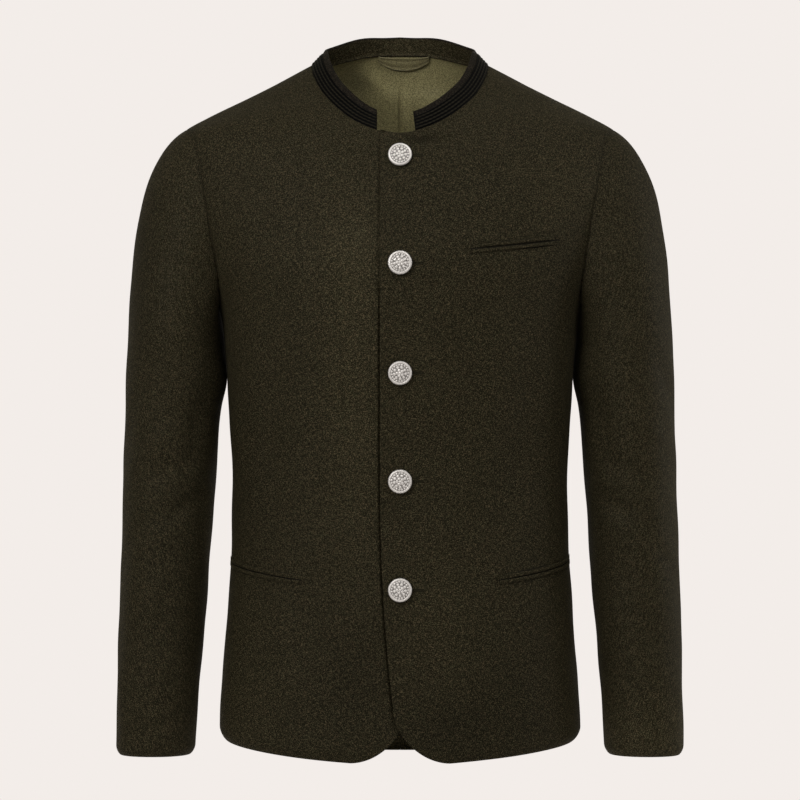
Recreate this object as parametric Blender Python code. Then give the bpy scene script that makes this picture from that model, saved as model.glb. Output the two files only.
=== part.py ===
"""Trachten jacket: a worn, hollow men's jacket with a low stand collar, built as cut and sewn pieces.

Lengths are metres. +X is the wearer's left, -Y the front, +Z up. The origin lies midway between the neck
ends of the two shoulder seams, where the wearer's shoulders carry the jacket.
"""

import math
from collections import namedtuple

import bmesh
import bpy
import numpy as np
from mathutils import Vector
from mathutils.bvhtree import BVHTree

# Cloth and gaps
CLOTH = 0.0020
SLEEVE_CLOTH = 0.0018
LINING_CLOTH = 0.0010
COLLAR_CLOTH = 0.0030
SEAM_GAP = 0.0003
LINING_GAP = 0.0004

# Torso form, from below the hem to the top of the back neck: a ring at each height
TorsoRing = namedtuple("TorsoRing", "height half_width front_depth back_depth centre power")
TORSO = [
    TorsoRing(-0.740, 0.1862, 0.129, 0.120, 0.000, 2.35),
    TorsoRing(-0.675, 0.1852, 0.127, 0.116, 0.000, 2.35),
    TorsoRing(-0.592, 0.1800, 0.123, 0.109, 0.000, 2.35),
    TorsoRing(-0.510, 0.1740, 0.119, 0.101, 0.000, 2.35),
    TorsoRing(-0.448, 0.1724, 0.1175, 0.098, 0.000, 2.35),
    TorsoRing(-0.400, 0.1730, 0.1185, 0.101, 0.000, 2.35),
    TorsoRing(-0.345, 0.1766, 0.1220, 0.107, 0.000, 2.35),
    TorsoRing(-0.300, 0.1795, 0.1262, 0.113, 0.000, 2.32),
    TorsoRing(-0.250, 0.1860, 0.1290, 0.118, 0.000, 2.25),
    TorsoRing(-0.200, 0.2070, 0.128, 0.118, 0.001, 2.15),
    TorsoRing(-0.160, 0.2260, 0.121, 0.114, 0.003, 2.10),
    TorsoRing(-0.120, 0.2370, 0.1135, 0.108, 0.005, 2.05),
    TorsoRing(-0.090, 0.2360, 0.1060, 0.101, 0.006, 2.00),
    TorsoRing(-0.067, 0.2203, 0.0960, 0.095, 0.006, 2.00),
    TorsoRing(-0.0545, 0.1978, 0.0860, 0.0908, 0.006, 2.00),
    TorsoRing(-0.034, 0.1572, 0.0660, 0.083, 0.006, 2.00),
    TorsoRing(0.000, 0.0910, 0.0360, 0.070, 0.006, 2.00),
    TorsoRing(0.025, 0.0420, 0.0180, 0.060, 0.006, 2.00),
]

# Neck and collar
NECK_HALF_WIDTH = 0.091
NECK_DEPTH = 0.0778
NECK_POWER = 1.70
NECK_BACK_RISE = 0.018
NECK_BACK_POWER = 4
COLLAR_END = {"left": 0.0157, "right": 0.0235}
CollarRing = namedtuple("CollarRing", "turn height lean left_rake right_rake")
COLLAR = [
    CollarRing(0.00, 0.0205, math.radians(20), 0.18, 0.39),
    CollarRing(0.25, 0.0210, math.radians(30), 0.10, 0.14),
    CollarRing(0.50, 0.0215, math.radians(44), 0.00, 0.00),
    CollarRing(0.62, 0.0194, math.radians(35), 0.00, 0.00),
    CollarRing(0.75, 0.0190, math.radians(24), 0.00, 0.00),
    CollarRing(0.88, 0.0167, math.radians(14), 0.00, 0.00),
    CollarRing(1.00, 0.0173, math.radians(10), 0.00, 0.00),
]
BRAID_LOW = 0.08
BRAID_HIGH = 0.70
BRAID_BASE = 0.0006
BRAID_RIB = 0.0007
BRAID_RIBS = 3
BRAID_END_INSET = 0.0012
BRAID_GAP = 0.0007

# Front edges, hem and side seam; the fronts come forward to a soft crest along the lapped edge
LAP = 0.0195
LAP_RISE = 0.0016
LAP_FLAT = 0.040
LAP_FADE = 0.090
CREST_REACH = 0.030
CrestRow = namedtuple("CrestRow", "height rise")
CREST = [
    CrestRow(-0.045, 0.0000),
    CrestRow(-0.080, 0.0000),
    CrestRow(-0.160, 0.0028),
    CrestRow(-0.380, 0.0024),
    CrestRow(-0.520, 0.0006),
    CrestRow(-0.630, -0.0008),
    CrestRow(-0.715, 0.0000),
]
EDGE_DRIFT_START = -0.430
EDGE_DRIFT = 0.0127
CORNER_TOP = -0.650
CORNER_START = 0.050
CORNER_POWER = 1.85
HEM_FRONT = -0.706
HEM_SIDE = -0.6855
HEM_BACK = -0.7165
HEM_POWER = 2.0
WAIST = -0.448
SIDE_SEAM_SHIFT = math.radians(9)

# Armhole: an oval cut in the torso form
ARMHOLE_TOP = -0.067
ARMHOLE_BOTTOM = -0.250
ARMHOLE_NECK_TURN = math.radians(66)
ArmholeRow = namedtuple("ArmholeRow", "turn front back")
ARMHOLE = [
    ArmholeRow(0, 0.0, 0.0),
    ArmholeRow(20, 20.0, 12.7),
    ArmholeRow(45, 29.6, 22.7),
    ArmholeRow(70, 32.4, 28.5),
    ArmholeRow(90, 31.4, 30.0),
    ArmholeRow(110, 27.4, 28.5),
    ArmholeRow(135, 21.2, 22.7),
    ArmholeRow(160, 11.8, 12.7),
    ArmholeRow(180, 0.0, 0.0),
]

# Sleeve: a ring at each height below the cap, inner and outer in X, front and back in Y
SleeveRing = namedtuple("SleeveRing", "height inner outer front back")
SLEEVE = [
    SleeveRing(-0.706, 0.2096, 0.2908, -0.068, 0.026),
    SleeveRing(-0.654, 0.2070, 0.2904, -0.069, 0.032),
    SleeveRing(-0.603, 0.2026, 0.2895, -0.068, 0.045),
    SleeveRing(-0.551, 0.1985, 0.2884, -0.067, 0.057),
    SleeveRing(-0.500, 0.1954, 0.2870, -0.066, 0.068),
    SleeveRing(-0.448, 0.1920, 0.2855, -0.066, 0.077),
    SleeveRing(-0.395, 0.1876, 0.2841, -0.067, 0.081),
    SleeveRing(-0.350, 0.1842, 0.2829, -0.068, 0.082),
    SleeveRing(-0.325, 0.1787, 0.2820, -0.069, 0.082),
    SleeveRing(-0.290, 0.1817, 0.2808, -0.070, 0.082),
]
CapTangent = namedtuple("CapTangent", "sideways forward down start finish")
CAP_TOP = CapTangent(0.876, 0.00, 0.48, 0.72, 1.30)
CAP_FRONT = CapTangent(0.55, 0.15, 0.82, 0.50, 0.80)
CAP_BACK = CapTangent(0.55, -0.15, 0.82, 0.50, 0.80)
CAP_BOTTOM = CapTangent(0.10, 0.00, 1.00, 0.30, 0.70)
SLEEVE_POWER = 2.15

# Largest soft folds, as ridges or troughs: place on the torso, half length, half width, depth and lean
Fold = namedtuple("Fold", "panel angle height length width depth lean")
FOLDS = [
    Fold("front_right", -29, -0.330, 0.170, 0.024, 0.0022, 3),
    Fold("front_right", -44, -0.390, 0.130, 0.022, -0.0020, 5),
    Fold("front_right", -16, -0.590, 0.080, 0.026, -0.0014, -12),
    Fold("front_left", 24, -0.395, 0.090, 0.018, 0.0016, 20),
    Fold("front_left", 36, -0.435, 0.100, 0.018, -0.0016, 18),
    Fold("front_left", 46, -0.360, 0.120, 0.024, -0.0020, -6),
    Fold("back_left", 150, -0.430, 0.100, 0.026, -0.0020, 14),
    Fold("back_left", 128, -0.300, 0.110, 0.024, 0.0018, -10),
    Fold("back_right", -147, -0.440, 0.110, 0.026, -0.0020, -12),
    Fold("back_right", -126, -0.310, 0.100, 0.024, 0.0018, 12),
]
SleeveFold = namedtuple("SleeveFold", "turn height length width depth lean")
SLEEVE_FOLDS = [
    SleeveFold(95, -0.415, 0.034, 0.011, -0.0030, 74),
    SleeveFold(110, -0.455, 0.040, 0.011, -0.0034, 68),
    SleeveFold(128, -0.360, 0.070, 0.014, -0.0026, 10),
    SleeveFold(236, -0.330, 0.080, 0.015, -0.0026, -8),
    SleeveFold(20, -0.600, 0.090, 0.018, -0.0016, 6),
    SleeveFold(200, -0.290, 0.024, 0.012, 0.0042, 0),
]

# Metres of cloth to a radian of the torso and of a sleeve, by which the folds are placed
FOLD_ARC = 0.15
SLEEVE_ARC = 0.06

# Pockets: two piped lips along a slanted cut, between two places seen from the front
Pocket = namedtuple("Pocket", "name panel start_x start_height end_x end_height")
POCKETS = [
    Pocket("chest_pocket", "front_left", 0.0700, -0.1950, 0.1600, -0.1840),
    Pocket("hip_pocket_left", "front_left", 0.0990, -0.5250, 0.1735, -0.5070),
    Pocket("hip_pocket_right", "front_right", -0.0990, -0.5250, -0.1735, -0.5090),
]
LIP_HEIGHT = 0.0046
LIP_GAP = 0.0008
LIP_EDGE = 0.0007
LIP_CROWN = 0.0013
LIP_SPANS = 8

# Buttons
BUTTON_TOP = -0.1010
BUTTON_SPACING = 0.1083
BUTTON_COUNT = 5
BUTTON_GAP = 0.0006
BUTTON_STAND = 0.0024
BUTTON_CROWN = 0.0026
BUTTON_PETALS = 8

# Rings of a button from its crown to its shank: radius, height over the edge and rise of the petals
ButtonRing = namedtuple("ButtonRing", "radius height petal_rise")
BUTTON = [
    ButtonRing(0.0019, 0.0025, 0.0000),
    ButtonRing(0.0046, 0.0022, 0.0005),
    ButtonRing(0.0072, 0.0017, 0.0005),
    ButtonRing(0.0091, 0.0011, 0.0000),
    ButtonRing(0.0106, 0.0011, 0.0000),
    ButtonRing(0.0120, 0.0000, 0.0000),
    ButtonRing(0.0110, -0.0008, 0.0000),
    ButtonRing(0.0036, -0.0010, 0.0000),
    ButtonRing(0.0036, -BUTTON_STAND, 0.0000),
]

# Hanging loop
LOOP_HALF = 0.0285
LOOP_CENTRE = 0.0040
LOOP_SAG = 0.0050
LOOP_WIDTH = 0.0130
LOOP_END_WIDTH = 0.0062
LOOP_CLOTH = 0.0014
LOOP_STAND = 0.0022
LOOP_TOP = 0.0144

# Lining
LINING_HEM = 0.035

# Spans of each stretch of a panel's edge, which neighbours share
CORNER_SPANS = 4
EDGE_SPANS = 8
CHEST_SPANS = 6
FREE_NECK_SPANS = 2
NECK_SPANS = 6
ACROSS_SPANS = 12
CAP_SPANS = 6
UNDER_SLEEVE_SPANS = 3
COLLAR_SPANS = 2
BUTTON_SEGMENTS = 24
LOOP_SPANS = 10

ANGLE_STEP = math.radians(0.25)
HEIGHT_STEP = 0.0005
ALONG_STEP = 0.002


def clear_scene():
    for old in list(bpy.data.objects):
        bpy.data.objects.remove(old, do_unlink=True)


def make_material(name, colour, roughness, metallic=0.0):
    material = bpy.data.materials.new(name)
    material.use_nodes = True
    shader = material.node_tree.nodes["Principled BSDF"]
    shader.inputs["Base Color"].default_value = (*colour, 1.0)
    shader.inputs["Roughness"].default_value = roughness
    shader.inputs["Metallic"].default_value = metallic
    return material


def make_object(name, points, faces, material):
    """A named, closed, smooth-shaded mesh with its faces turned outwards."""
    mesh = bpy.data.meshes.new(name)
    mesh.from_pydata([tuple(map(float, point)) for point in points], [], faces)
    build = bmesh.new()
    build.from_mesh(mesh)
    bmesh.ops.recalc_face_normals(build, faces=build.faces)
    build.to_mesh(mesh)
    build.free()
    mesh.shade_smooth()
    mesh.set_sharp_from_angle(angle=math.radians(40))
    mesh.materials.append(material)
    made = bpy.data.objects.new(name, mesh)
    bpy.context.scene.collection.objects.link(made)
    return made


def make_wall(name, outer, inner, material):
    """A cloth wall between two grids of points of the same size, closed round its edges."""
    rows, columns = outer.shape[:2]
    index = np.arange(rows * columns).reshape(rows, columns)
    far = index + rows * columns
    faces = []
    for grid in (index, far):
        a, b, c, d = grid[:-1, :-1], grid[:-1, 1:], grid[1:, 1:], grid[1:, :-1]
        faces += np.stack([a, b, c, d], -1).reshape(-1, 4).tolist()
    rim = np.concatenate([index[0, :-1], index[:-1, -1], index[-1, :0:-1], index[:0:-1, 0]])
    after = np.roll(rim, -1)
    shift = rows * columns
    faces += np.stack([rim, after, after + shift, rim + shift], -1).tolist()
    points = np.concatenate([outer.reshape(-1, 3), inner.reshape(-1, 3)])
    return make_object(name, points, faces, material)


def unit(vectors):
    return vectors / np.linalg.norm(vectors, axis=-1, keepdims=True)


def smooth_step(values):
    share = np.clip(values, 0.0, 1.0)
    return share * share * (3.0 - 2.0 * share)


def smooth_column(rows, key, name):
    """A smooth curve through one column of a table, as a function of its key column."""
    ordered = sorted(rows, key=lambda row: getattr(row, key))
    places = np.array([getattr(row, key) for row in ordered])
    values = np.array([getattr(row, name) for row in ordered])
    slopes = np.gradient(values, places)

    def read(place):
        place = np.asarray(place, float)
        low = np.clip(np.searchsorted(places, place) - 1, 0, len(places) - 2)
        span = places[low + 1] - places[low]
        t = (place - places[low]) / span
        start = values[low] * (2 * t**3 - 3 * t**2 + 1) + slopes[low] * span * (t**3 - 2 * t**2 + t)
        finish = values[low + 1] * (3 * t**2 - 2 * t**3) + slopes[low + 1] * span * (t**3 - t**2)
        return start + finish

    return read


half_width_at = smooth_column(TORSO, "height", "half_width")
front_depth_at = smooth_column(TORSO, "height", "front_depth")
back_depth_at = smooth_column(TORSO, "height", "back_depth")
centre_at = smooth_column(TORSO, "height", "centre")
power_at = smooth_column(TORSO, "height", "power")
sleeve_at = {name: smooth_column(SLEEVE, "height", name) for name in ("inner", "outer", "front", "back")}
collar_height_at = smooth_column(COLLAR, "turn", "height")
collar_lean_at = smooth_column(COLLAR, "turn", "lean")
crest_at = smooth_column(CREST, "height", "rise")
armhole_front_at = smooth_column(ARMHOLE, "turn", "front")
armhole_back_at = smooth_column(ARMHOLE, "turn", "back")
left_rake_at = smooth_column(COLLAR, "turn", "left_rake")
right_rake_at = smooth_column(COLLAR, "turn", "right_rake")


def signed_power(base, exponent):
    return np.sign(base) * np.abs(base) ** exponent


def torso_form(angle, height):
    """Points of the torso form. Angle 0 is the centre front and 90 degrees the wearer's left side."""
    exponent = 2.0 / power_at(height)
    depth = np.where(np.cos(angle) > 0, front_depth_at(height), back_depth_at(height))
    x = half_width_at(height) * signed_power(np.sin(angle), exponent)
    y = centre_at(height) - depth * signed_power(np.cos(angle), exponent)
    return np.stack(np.broadcast_arrays(x, y, height), -1)


def torso_normal(angle, height):
    around = torso_form(angle + ANGLE_STEP, height) - torso_form(angle - ANGLE_STEP, height)
    upward = torso_form(angle, height + HEIGHT_STEP) - torso_form(angle, height - HEIGHT_STEP)
    return unit(np.cross(around, upward))


def ridge(across, along, length, width, depth, lean):
    """One soft ridge or trough, leaning by some degrees from the upright."""
    turn = math.radians(lean)
    beside = across * math.cos(turn) - along * math.sin(turn)
    beyond = across * math.sin(turn) + along * math.cos(turn)
    return depth * np.exp(-((beside / width) ** 2) - (beyond / length) ** 2)


def torso_folds(panel, angle, height):
    total = np.zeros(np.broadcast(angle, height).shape)
    for fold in FOLDS:
        if fold.panel == panel:
            across = (angle - math.radians(fold.angle)) * FOLD_ARC
            along = height - fold.height
            total = total + ridge(across, along, fold.length, fold.width, fold.depth, fold.lean)
    return total


def lap_lift(panel, x):
    """The left front rises over the right one where they lap at the centre."""
    if panel == "front_left":
        return LAP_RISE * smooth_step((LAP_FADE - x) / (LAP_FADE - LAP_FLAT))
    if panel == "front_right":
        return -LAP_RISE * smooth_step((LAP_FADE + x) / (LAP_FADE - LAP_FLAT))
    return 0.0 * x


def crest(panel, x, height):
    """The fronts' rise towards the lapped edge."""
    if panel.startswith("back"):
        return 0.0 * x
    return crest_at(height) * np.exp(-np.abs(x + LAP) / CREST_REACH)


def cloth_point(panel, angle, height, out=0.0):
    """A point of a torso panel's outer face, moved out along its normal."""
    base = torso_form(angle, height)
    x = base[..., 0]
    lift = torso_folds(panel, angle, height) + lap_lift(panel, x) + crest(panel, x, height) + out
    return base + torso_normal(angle, height) * lift[..., None]


def angle_at(x, height):
    """The angle on the front of the torso form at a place seen from the front."""
    share = np.clip(np.abs(x) / half_width_at(height), 0.0, 1.0)
    return np.sign(x) * np.arcsin(share ** (power_at(height) / 2.0))


def armhole(turn):
    """Angle and height of the left armhole: turn 0 is the shoulder tip, 90 degrees the front."""
    middle, half = (ARMHOLE_TOP + ARMHOLE_BOTTOM) / 2, (ARMHOLE_TOP - ARMHOLE_BOTTOM) / 2
    from_top = np.degrees(np.arccos(np.cos(turn)))
    reach = np.where(np.sin(turn) > 0, armhole_front_at(from_top), -armhole_back_at(from_top))
    return math.pi / 2 - np.radians(reach), middle + half * np.cos(turn)


def spaced(start, finish, spans):
    return np.linspace(start, finish, spans + 1)[1:]


def armhole_turns():
    """Turns of the armhole's points from the underarm up to the shoulder tip."""
    low = spaced(math.pi, ARMHOLE_NECK_TURN, CHEST_SPANS)
    return np.concatenate([low, spaced(ARMHOLE_NECK_TURN, 0.0, NECK_SPANS)])


def side_edge(front):
    """Side seam from the hem to the underarm, then the armhole to the shoulder tip, as angles and heights."""
    corner = np.linspace(HEM_SIDE, CORNER_TOP, CORNER_SPANS + 1)
    height = np.concatenate([corner, spaced(CORNER_TOP, ARMHOLE_BOTTOM, EDGE_SPANS)])
    angle = math.pi / 2 + SIDE_SEAM_SHIFT * smooth_step((ARMHOLE_BOTTOM - height) / (ARMHOLE_BOTTOM - WAIST))
    turns = armhole_turns() * (1 if front else -1)
    hole_angle, hole_height = armhole(turns)
    return np.concatenate([angle, hole_angle]), np.concatenate([height, hole_height])


def neck_height(x):
    """Height of the front neckline at a place seen from the front."""
    share = np.clip(np.abs(x) / NECK_HALF_WIDTH, 0.0, 1.0)
    return -NECK_DEPTH * (1.0 - share**NECK_POWER) ** (1.0 / NECK_POWER)


def front_edge(collar_end):
    """Rounded hem corner, lapped edge and neckline of a front, as angles and heights on the left side.

    The neckline is free from the lapped edge to the collar's end, and then carries the collar.
    """
    turn = np.linspace(0.0, math.pi / 2, CORNER_SPANS + 1)
    edge_bottom = EDGE_DRIFT - LAP
    corner_x = CORNER_START - (CORNER_START - edge_bottom) * signed_power(np.sin(turn), 2.0 / CORNER_POWER)
    corner_height = CORNER_TOP - (CORNER_TOP - HEM_FRONT) * signed_power(np.cos(turn), 2.0 / CORNER_POWER)
    rise = spaced(CORNER_TOP, ARMHOLE_BOTTOM, EDGE_SPANS)
    chest = spaced(ARMHOLE_BOTTOM, neck_height(LAP), CHEST_SPANS - FREE_NECK_SPANS)
    edge_height = np.concatenate([rise, chest])
    drift = np.clip((EDGE_DRIFT_START - edge_height) / (EDGE_DRIFT_START - CORNER_TOP), 0.0, 1.0)
    edge_x = EDGE_DRIFT * drift**2 - LAP
    free_x = np.linspace(-LAP, collar_end, FREE_NECK_SPANS + 2)[1:-1]
    start = math.asin(collar_end / NECK_HALF_WIDTH)
    collar_x = NECK_HALF_WIDTH * np.sin(np.linspace(start, math.pi / 2, NECK_SPANS))
    neck_x = np.concatenate([free_x, collar_x])
    x = np.concatenate([corner_x, edge_x, neck_x])
    height = np.concatenate([corner_height, edge_height, neck_height(neck_x)])
    return angle_at(x, height), height


def back_edge():
    """Centre back seam and back neckline of the left back, as angles and heights."""
    corner = np.linspace(HEM_BACK, CORNER_TOP, CORNER_SPANS + 1)
    rise = spaced(CORNER_TOP, ARMHOLE_BOTTOM, EDGE_SPANS)
    chest = spaced(ARMHOLE_BOTTOM, NECK_BACK_RISE, CHEST_SPANS)
    neck_angle = spaced(math.pi, math.pi / 2, NECK_SPANS)
    seam = np.concatenate([corner, rise, chest])
    angle = np.concatenate([np.full(len(seam), math.pi), neck_angle])
    return angle, np.concatenate([seam, NECK_BACK_RISE * (1.0 - np.sin(neck_angle) ** NECK_BACK_POWER)])


def pull_edges(grid, reference):
    """Moves the four edges of a grid in by half a seam's gap, along the directions of a reference grid."""
    pulled = grid.copy()
    half = SEAM_GAP / 2
    pulled[:, 0] += half * unit(reference[:, 1] - reference[:, 0])
    pulled[:, -1] += half * unit(reference[:, -2] - reference[:, -1])
    pulled[0] += half * unit(reference[1] - reference[0])
    pulled[-1] += half * unit(reference[-2] - reference[-1])
    return pulled


def hem_sweep(share, centre_height):
    """Shares of a back panel's rise towards its side: its hem starts level from the centre."""
    near_hem = np.clip((CORNER_TOP - centre_height) / (CORNER_TOP - HEM_BACK), 0.0, 1.0)[:, None]
    return share + near_hem * (share**HEM_POWER - share)


def torso_grid(panel):
    """Angles and heights of a torso panel: rows from hem to shoulder, columns from centre to side."""
    half, side = panel.split("_")
    front = half == "front"
    centre_angle, centre_height = front_edge(COLLAR_END[side]) if front else back_edge()
    side_angle, side_height = side_edge(front)
    share = np.linspace(0.0, 1.0, ACROSS_SPANS + 1)[None, :]
    angle = centre_angle[:, None] + (side_angle - centre_angle)[:, None] * share
    rise = share if front else hem_sweep(share, centre_height)
    height = centre_height[:, None] + (side_height - centre_height)[:, None] * rise
    return angle * (1 if side == "left" else -1), height


def make_torso_panel(panel, material):
    angle, height = torso_grid(panel)
    outer = cloth_point(panel, angle, height)
    inner = cloth_point(panel, angle, height, -CLOTH)
    make_wall(panel, pull_edges(outer, outer), pull_edges(inner, outer), material)


def make_lining(panel, name, material):
    """The lining of one back panel, from above its hem up to the neck and shoulder seams."""
    angle, height = torso_grid(panel)
    angle, height = angle[CORNER_SPANS:].copy(), height[CORNER_SPANS:].copy()
    height[0] += HEM_BACK + LINING_HEM - CORNER_TOP
    start = CLOTH + LINING_GAP
    outer = cloth_point(panel, angle, height, -start)
    inner = cloth_point(panel, angle, height, -start - LINING_CLOTH)
    make_wall(name, pull_edges(outer, outer), pull_edges(inner, outer), material)


def blend_cap(turn):
    """The sleeve cap's leaving direction and stiffness at a turn round the armhole."""
    cosine, sine = np.cos(turn), np.sin(turn)
    weights = [
        (CAP_TOP, np.maximum(cosine, 0) ** 2),
        (CAP_BOTTOM, np.maximum(-cosine, 0) ** 2),
        (CAP_FRONT, np.maximum(sine, 0) ** 2),
        (CAP_BACK, np.maximum(-sine, 0) ** 2),
    ]
    return [sum(weight * row[k] for row, weight in weights) for k in range(len(CapTangent._fields))]


def sleeve_ring(turn, height):
    """A point of the left sleeve's ring at a height: turn 0 is outside, 90 degrees the front."""
    inner, outer, front, back = (sleeve_at[name](height) for name in ("inner", "outer", "front", "back"))
    exponent = 2.0 / SLEEVE_POWER
    x = (inner + outer) / 2 + (outer - inner) / 2 * signed_power(np.cos(turn), exponent)
    y = (front + back) / 2 - (back - front) / 2 * signed_power(np.sin(turn), exponent)
    return np.stack(np.broadcast_arrays(x, y, height), -1)


def sleeve_start(turn):
    """Where the sleeve leaves the armhole: butted to the seam on top, over the cloth at the underarm."""
    angle, height = armhole(turn)
    lapped = np.maximum(-np.cos(turn), 0)[..., None] ** 2
    sideways, forward, down = blend_cap(turn)[:3]
    leave = unit(np.stack([sideways, -forward, -down], -1))
    outward = torso_normal(angle, height)
    return torso_form(angle, height) + SEAM_GAP * (leave * (1 - lapped) / 2 + outward * lapped * 2)


def sleeve_form(turn, along):
    """A point of the left sleeve: along 0 is the armhole, 1 the ring under the cap, 2 the cuff."""
    turn, along = np.broadcast_arrays(turn, along)
    cap_height, cuff_height = SLEEVE[-1].height, SLEEVE[0].height
    arm = sleeve_ring(turn, cap_height + (cuff_height - cap_height) * np.clip(along - 1, 0, 1))
    start = sleeve_start(turn)
    finish = sleeve_ring(turn, np.full(turn.shape, cap_height))
    sideways, forward, down, leave, arrive = blend_cap(turn)
    chord = np.linalg.norm(finish - start, axis=-1)
    leaving = unit(np.stack([sideways, -forward, -down], -1)) * (chord * leave)[..., None]
    below = sleeve_ring(turn, np.full(turn.shape, cap_height - HEIGHT_STEP))
    arriving = unit(below - finish) * (chord * arrive)[..., None]
    t = np.clip(along, 0, 1)[..., None]
    cap = start * (2 * t**3 - 3 * t**2 + 1) + leaving * (t**3 - 2 * t**2 + t)
    cap = cap + finish * (3 * t**2 - 2 * t**3) + arriving * (t**3 - t**2)
    return np.where((along > 1)[..., None], arm, cap)


def sleeve_normal(turn, along):
    low, high = np.clip(along - ALONG_STEP, 0, 2), np.clip(along + ALONG_STEP, 0, 2)
    around = sleeve_form(turn + ANGLE_STEP, along) - sleeve_form(turn - ANGLE_STEP, along)
    down = sleeve_form(turn, high) - sleeve_form(turn, low)
    return unit(np.cross(around, down))


def sleeve_folds(turn, height):
    total = np.zeros(turn.shape)
    for fold in SLEEVE_FOLDS:
        across = (turn - math.radians(fold.turn)) * SLEEVE_ARC
        along = height - fold.height
        total = total + ridge(across, along, fold.length, fold.width, fold.depth, fold.lean)
    return total


def sleeve_grids(turns):
    """Outer and inner points of a sleeve piece between two seams, rows from the armhole to the cuff."""
    cap_height, cuff_height = SLEEVE[-1].height, SLEEVE[0].height
    ring_heights = np.array([ring.height for ring in SLEEVE[-2::-1]])
    arm = 1 + (cap_height - ring_heights) / (cap_height - cuff_height)
    along = np.concatenate([np.linspace(0, 1, CAP_SPANS + 1), arm])
    turn, along = np.meshgrid(turns, along)
    base, normal = sleeve_form(turn, along), sleeve_normal(turn, along)
    lift = sleeve_folds(turn % (2 * math.pi), base[..., 2])
    outer = base + normal * lift[..., None]
    return outer, outer - normal * SLEEVE_CLOTH


def make_sleeve(side, name, material):
    """Top and under sleeve of one arm, parted at the front and hind seams."""
    rising = np.concatenate([[math.pi], armhole_turns()])
    turns = np.concatenate([rising[::-1], 2 * math.pi - rising[1:]])
    underarm = len(rising) - 1
    front_seam, hind_seam = underarm - UNDER_SLEEVE_SPANS, underarm + UNDER_SLEEVE_SPANS
    under = turns[front_seam : hind_seam + 1]
    top = np.concatenate([turns[hind_seam:-1] - 2 * math.pi, turns[: front_seam + 1]])
    flip = np.array([side, 1, 1])
    for piece, piece_turns in (("top", top), ("under", under)):
        outer, inner = sleeve_grids(piece_turns)
        pulled = [pull_edges(grid, outer) * flip for grid in (outer, inner)]
        make_wall(f"sleeve_{piece}_{name}", *pulled, material)


def collar_base():
    """Neckline points from the left collar end round the back to the right one, with turns and rakes."""
    left_angle, left_height = (values[-NECK_SPANS:] for values in front_edge(COLLAR_END["left"]))
    right_angle, right_height = (values[-NECK_SPANS:] for values in front_edge(COLLAR_END["right"]))
    back_angle, back_height = (values[-2 : -NECK_SPANS - 2 : -1] for values in back_edge())
    left_front = cloth_point("front_left", left_angle, left_height)
    right_front = cloth_point("front_right", -right_angle, right_height)
    left_back = cloth_point("back_left", back_angle, back_height)
    right_back = left_back * np.array([-1, 1, 1])
    points = np.concatenate([left_front, left_back, right_back[-2::-1], right_front[::-1]])
    turns = np.concatenate([np.linspace(0.0, 0.5, NECK_SPANS), spaced(0.5, 1.0, NECK_SPANS)])
    rake = np.concatenate([left_rake_at(turns), right_rake_at(turns[-2::-1])])
    return points, np.concatenate([turns, turns[-2::-1]]), rake


def collar_frame():
    """Base points, upward directions, outward normals and heights of the collar band."""
    base, turn, rake = collar_base()
    along = unit(np.gradient(base, axis=0, edge_order=2))
    upright = np.array([0.0, 0.0, 1.0])
    rise = unit(upright - along * along[:, 2:3])
    inward = np.cross(rise, along)
    inward *= -np.sign(np.sum(inward * base, axis=1, keepdims=True))
    lean = collar_lean_at(turn)[:, None]
    direction = rise * np.cos(lean) + inward * np.sin(lean)
    outward = rise * np.sin(lean) - inward * np.cos(lean)
    backward = along * np.sign(along[:, 1:2])
    direction = direction + backward * rake[:, None]
    return base, direction, outward, collar_height_at(turn)[:, None]


def make_collar(material):
    base, direction, outward, height = collar_frame()
    share = np.linspace(0.0, 1.0, COLLAR_SPANS + 1)[:, None, None]
    outer = base + direction * (SEAM_GAP + height * share)
    inner = outer - outward * COLLAR_CLOTH
    make_wall("collar", outer, inner, material)


def make_braid(material):
    """A dark braid with lengthwise ribs on the collar's outer face."""
    base, direction, outward, height = collar_frame()
    rows = 2 * BRAID_RIBS + 1
    share = np.linspace(BRAID_LOW, BRAID_HIGH, rows)[:, None, None]
    on_collar = base + direction * (SEAM_GAP + height * share)
    for end, before in ((0, 1), (-1, -2)):
        on_collar[:, end] += BRAID_END_INSET * unit(on_collar[:, before] - on_collar[:, end])
    rib = BRAID_BASE + BRAID_RIB * (np.arange(rows) % 2)[:, None, None]
    inner = on_collar + outward * BRAID_GAP
    make_wall("collar_braid", inner + outward * rib, inner, material)


def make_pocket(pocket, material):
    """Two piped lips lying on the front, above and below the pocket's cut."""
    share = np.linspace(0.0, 1.0, LIP_SPANS + 1)
    start_angle = float(angle_at(pocket.start_x, pocket.start_height))
    end_angle = float(angle_at(pocket.end_x, pocket.end_height))
    angle = start_angle + (end_angle - start_angle) * share
    middle = pocket.start_height + (pocket.end_height - pocket.start_height) * share
    for lip, low, high in (
        ("upper", SEAM_GAP / 2, LIP_HEIGHT),
        ("lower", -LIP_HEIGHT, -SEAM_GAP / 2),
    ):
        across = np.array([low, (low + high) / 2, high])[:, None]
        angles, heights = np.broadcast_arrays(angle[None, :], middle[None, :] + across)
        raised = np.array([LIP_EDGE, LIP_CROWN, LIP_EDGE])[:, None]
        inner = cloth_point(pocket.panel, angles, heights, LIP_GAP)
        outer = inner + torso_normal(angles, heights) * raised[..., None]
        make_wall(f"{pocket.name}_{lip}", outer, inner, material)


def seat_on(name, above, out):
    """The point of a built piece that lies straight below a place above it."""
    mesh = bpy.data.objects[name].data
    corners = [vertex.co for vertex in mesh.vertices]
    tree = BVHTree.FromPolygons(corners, [face.vertices for face in mesh.polygons])
    return np.array(tree.ray_cast(Vector(above), Vector(-out))[0])


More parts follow.
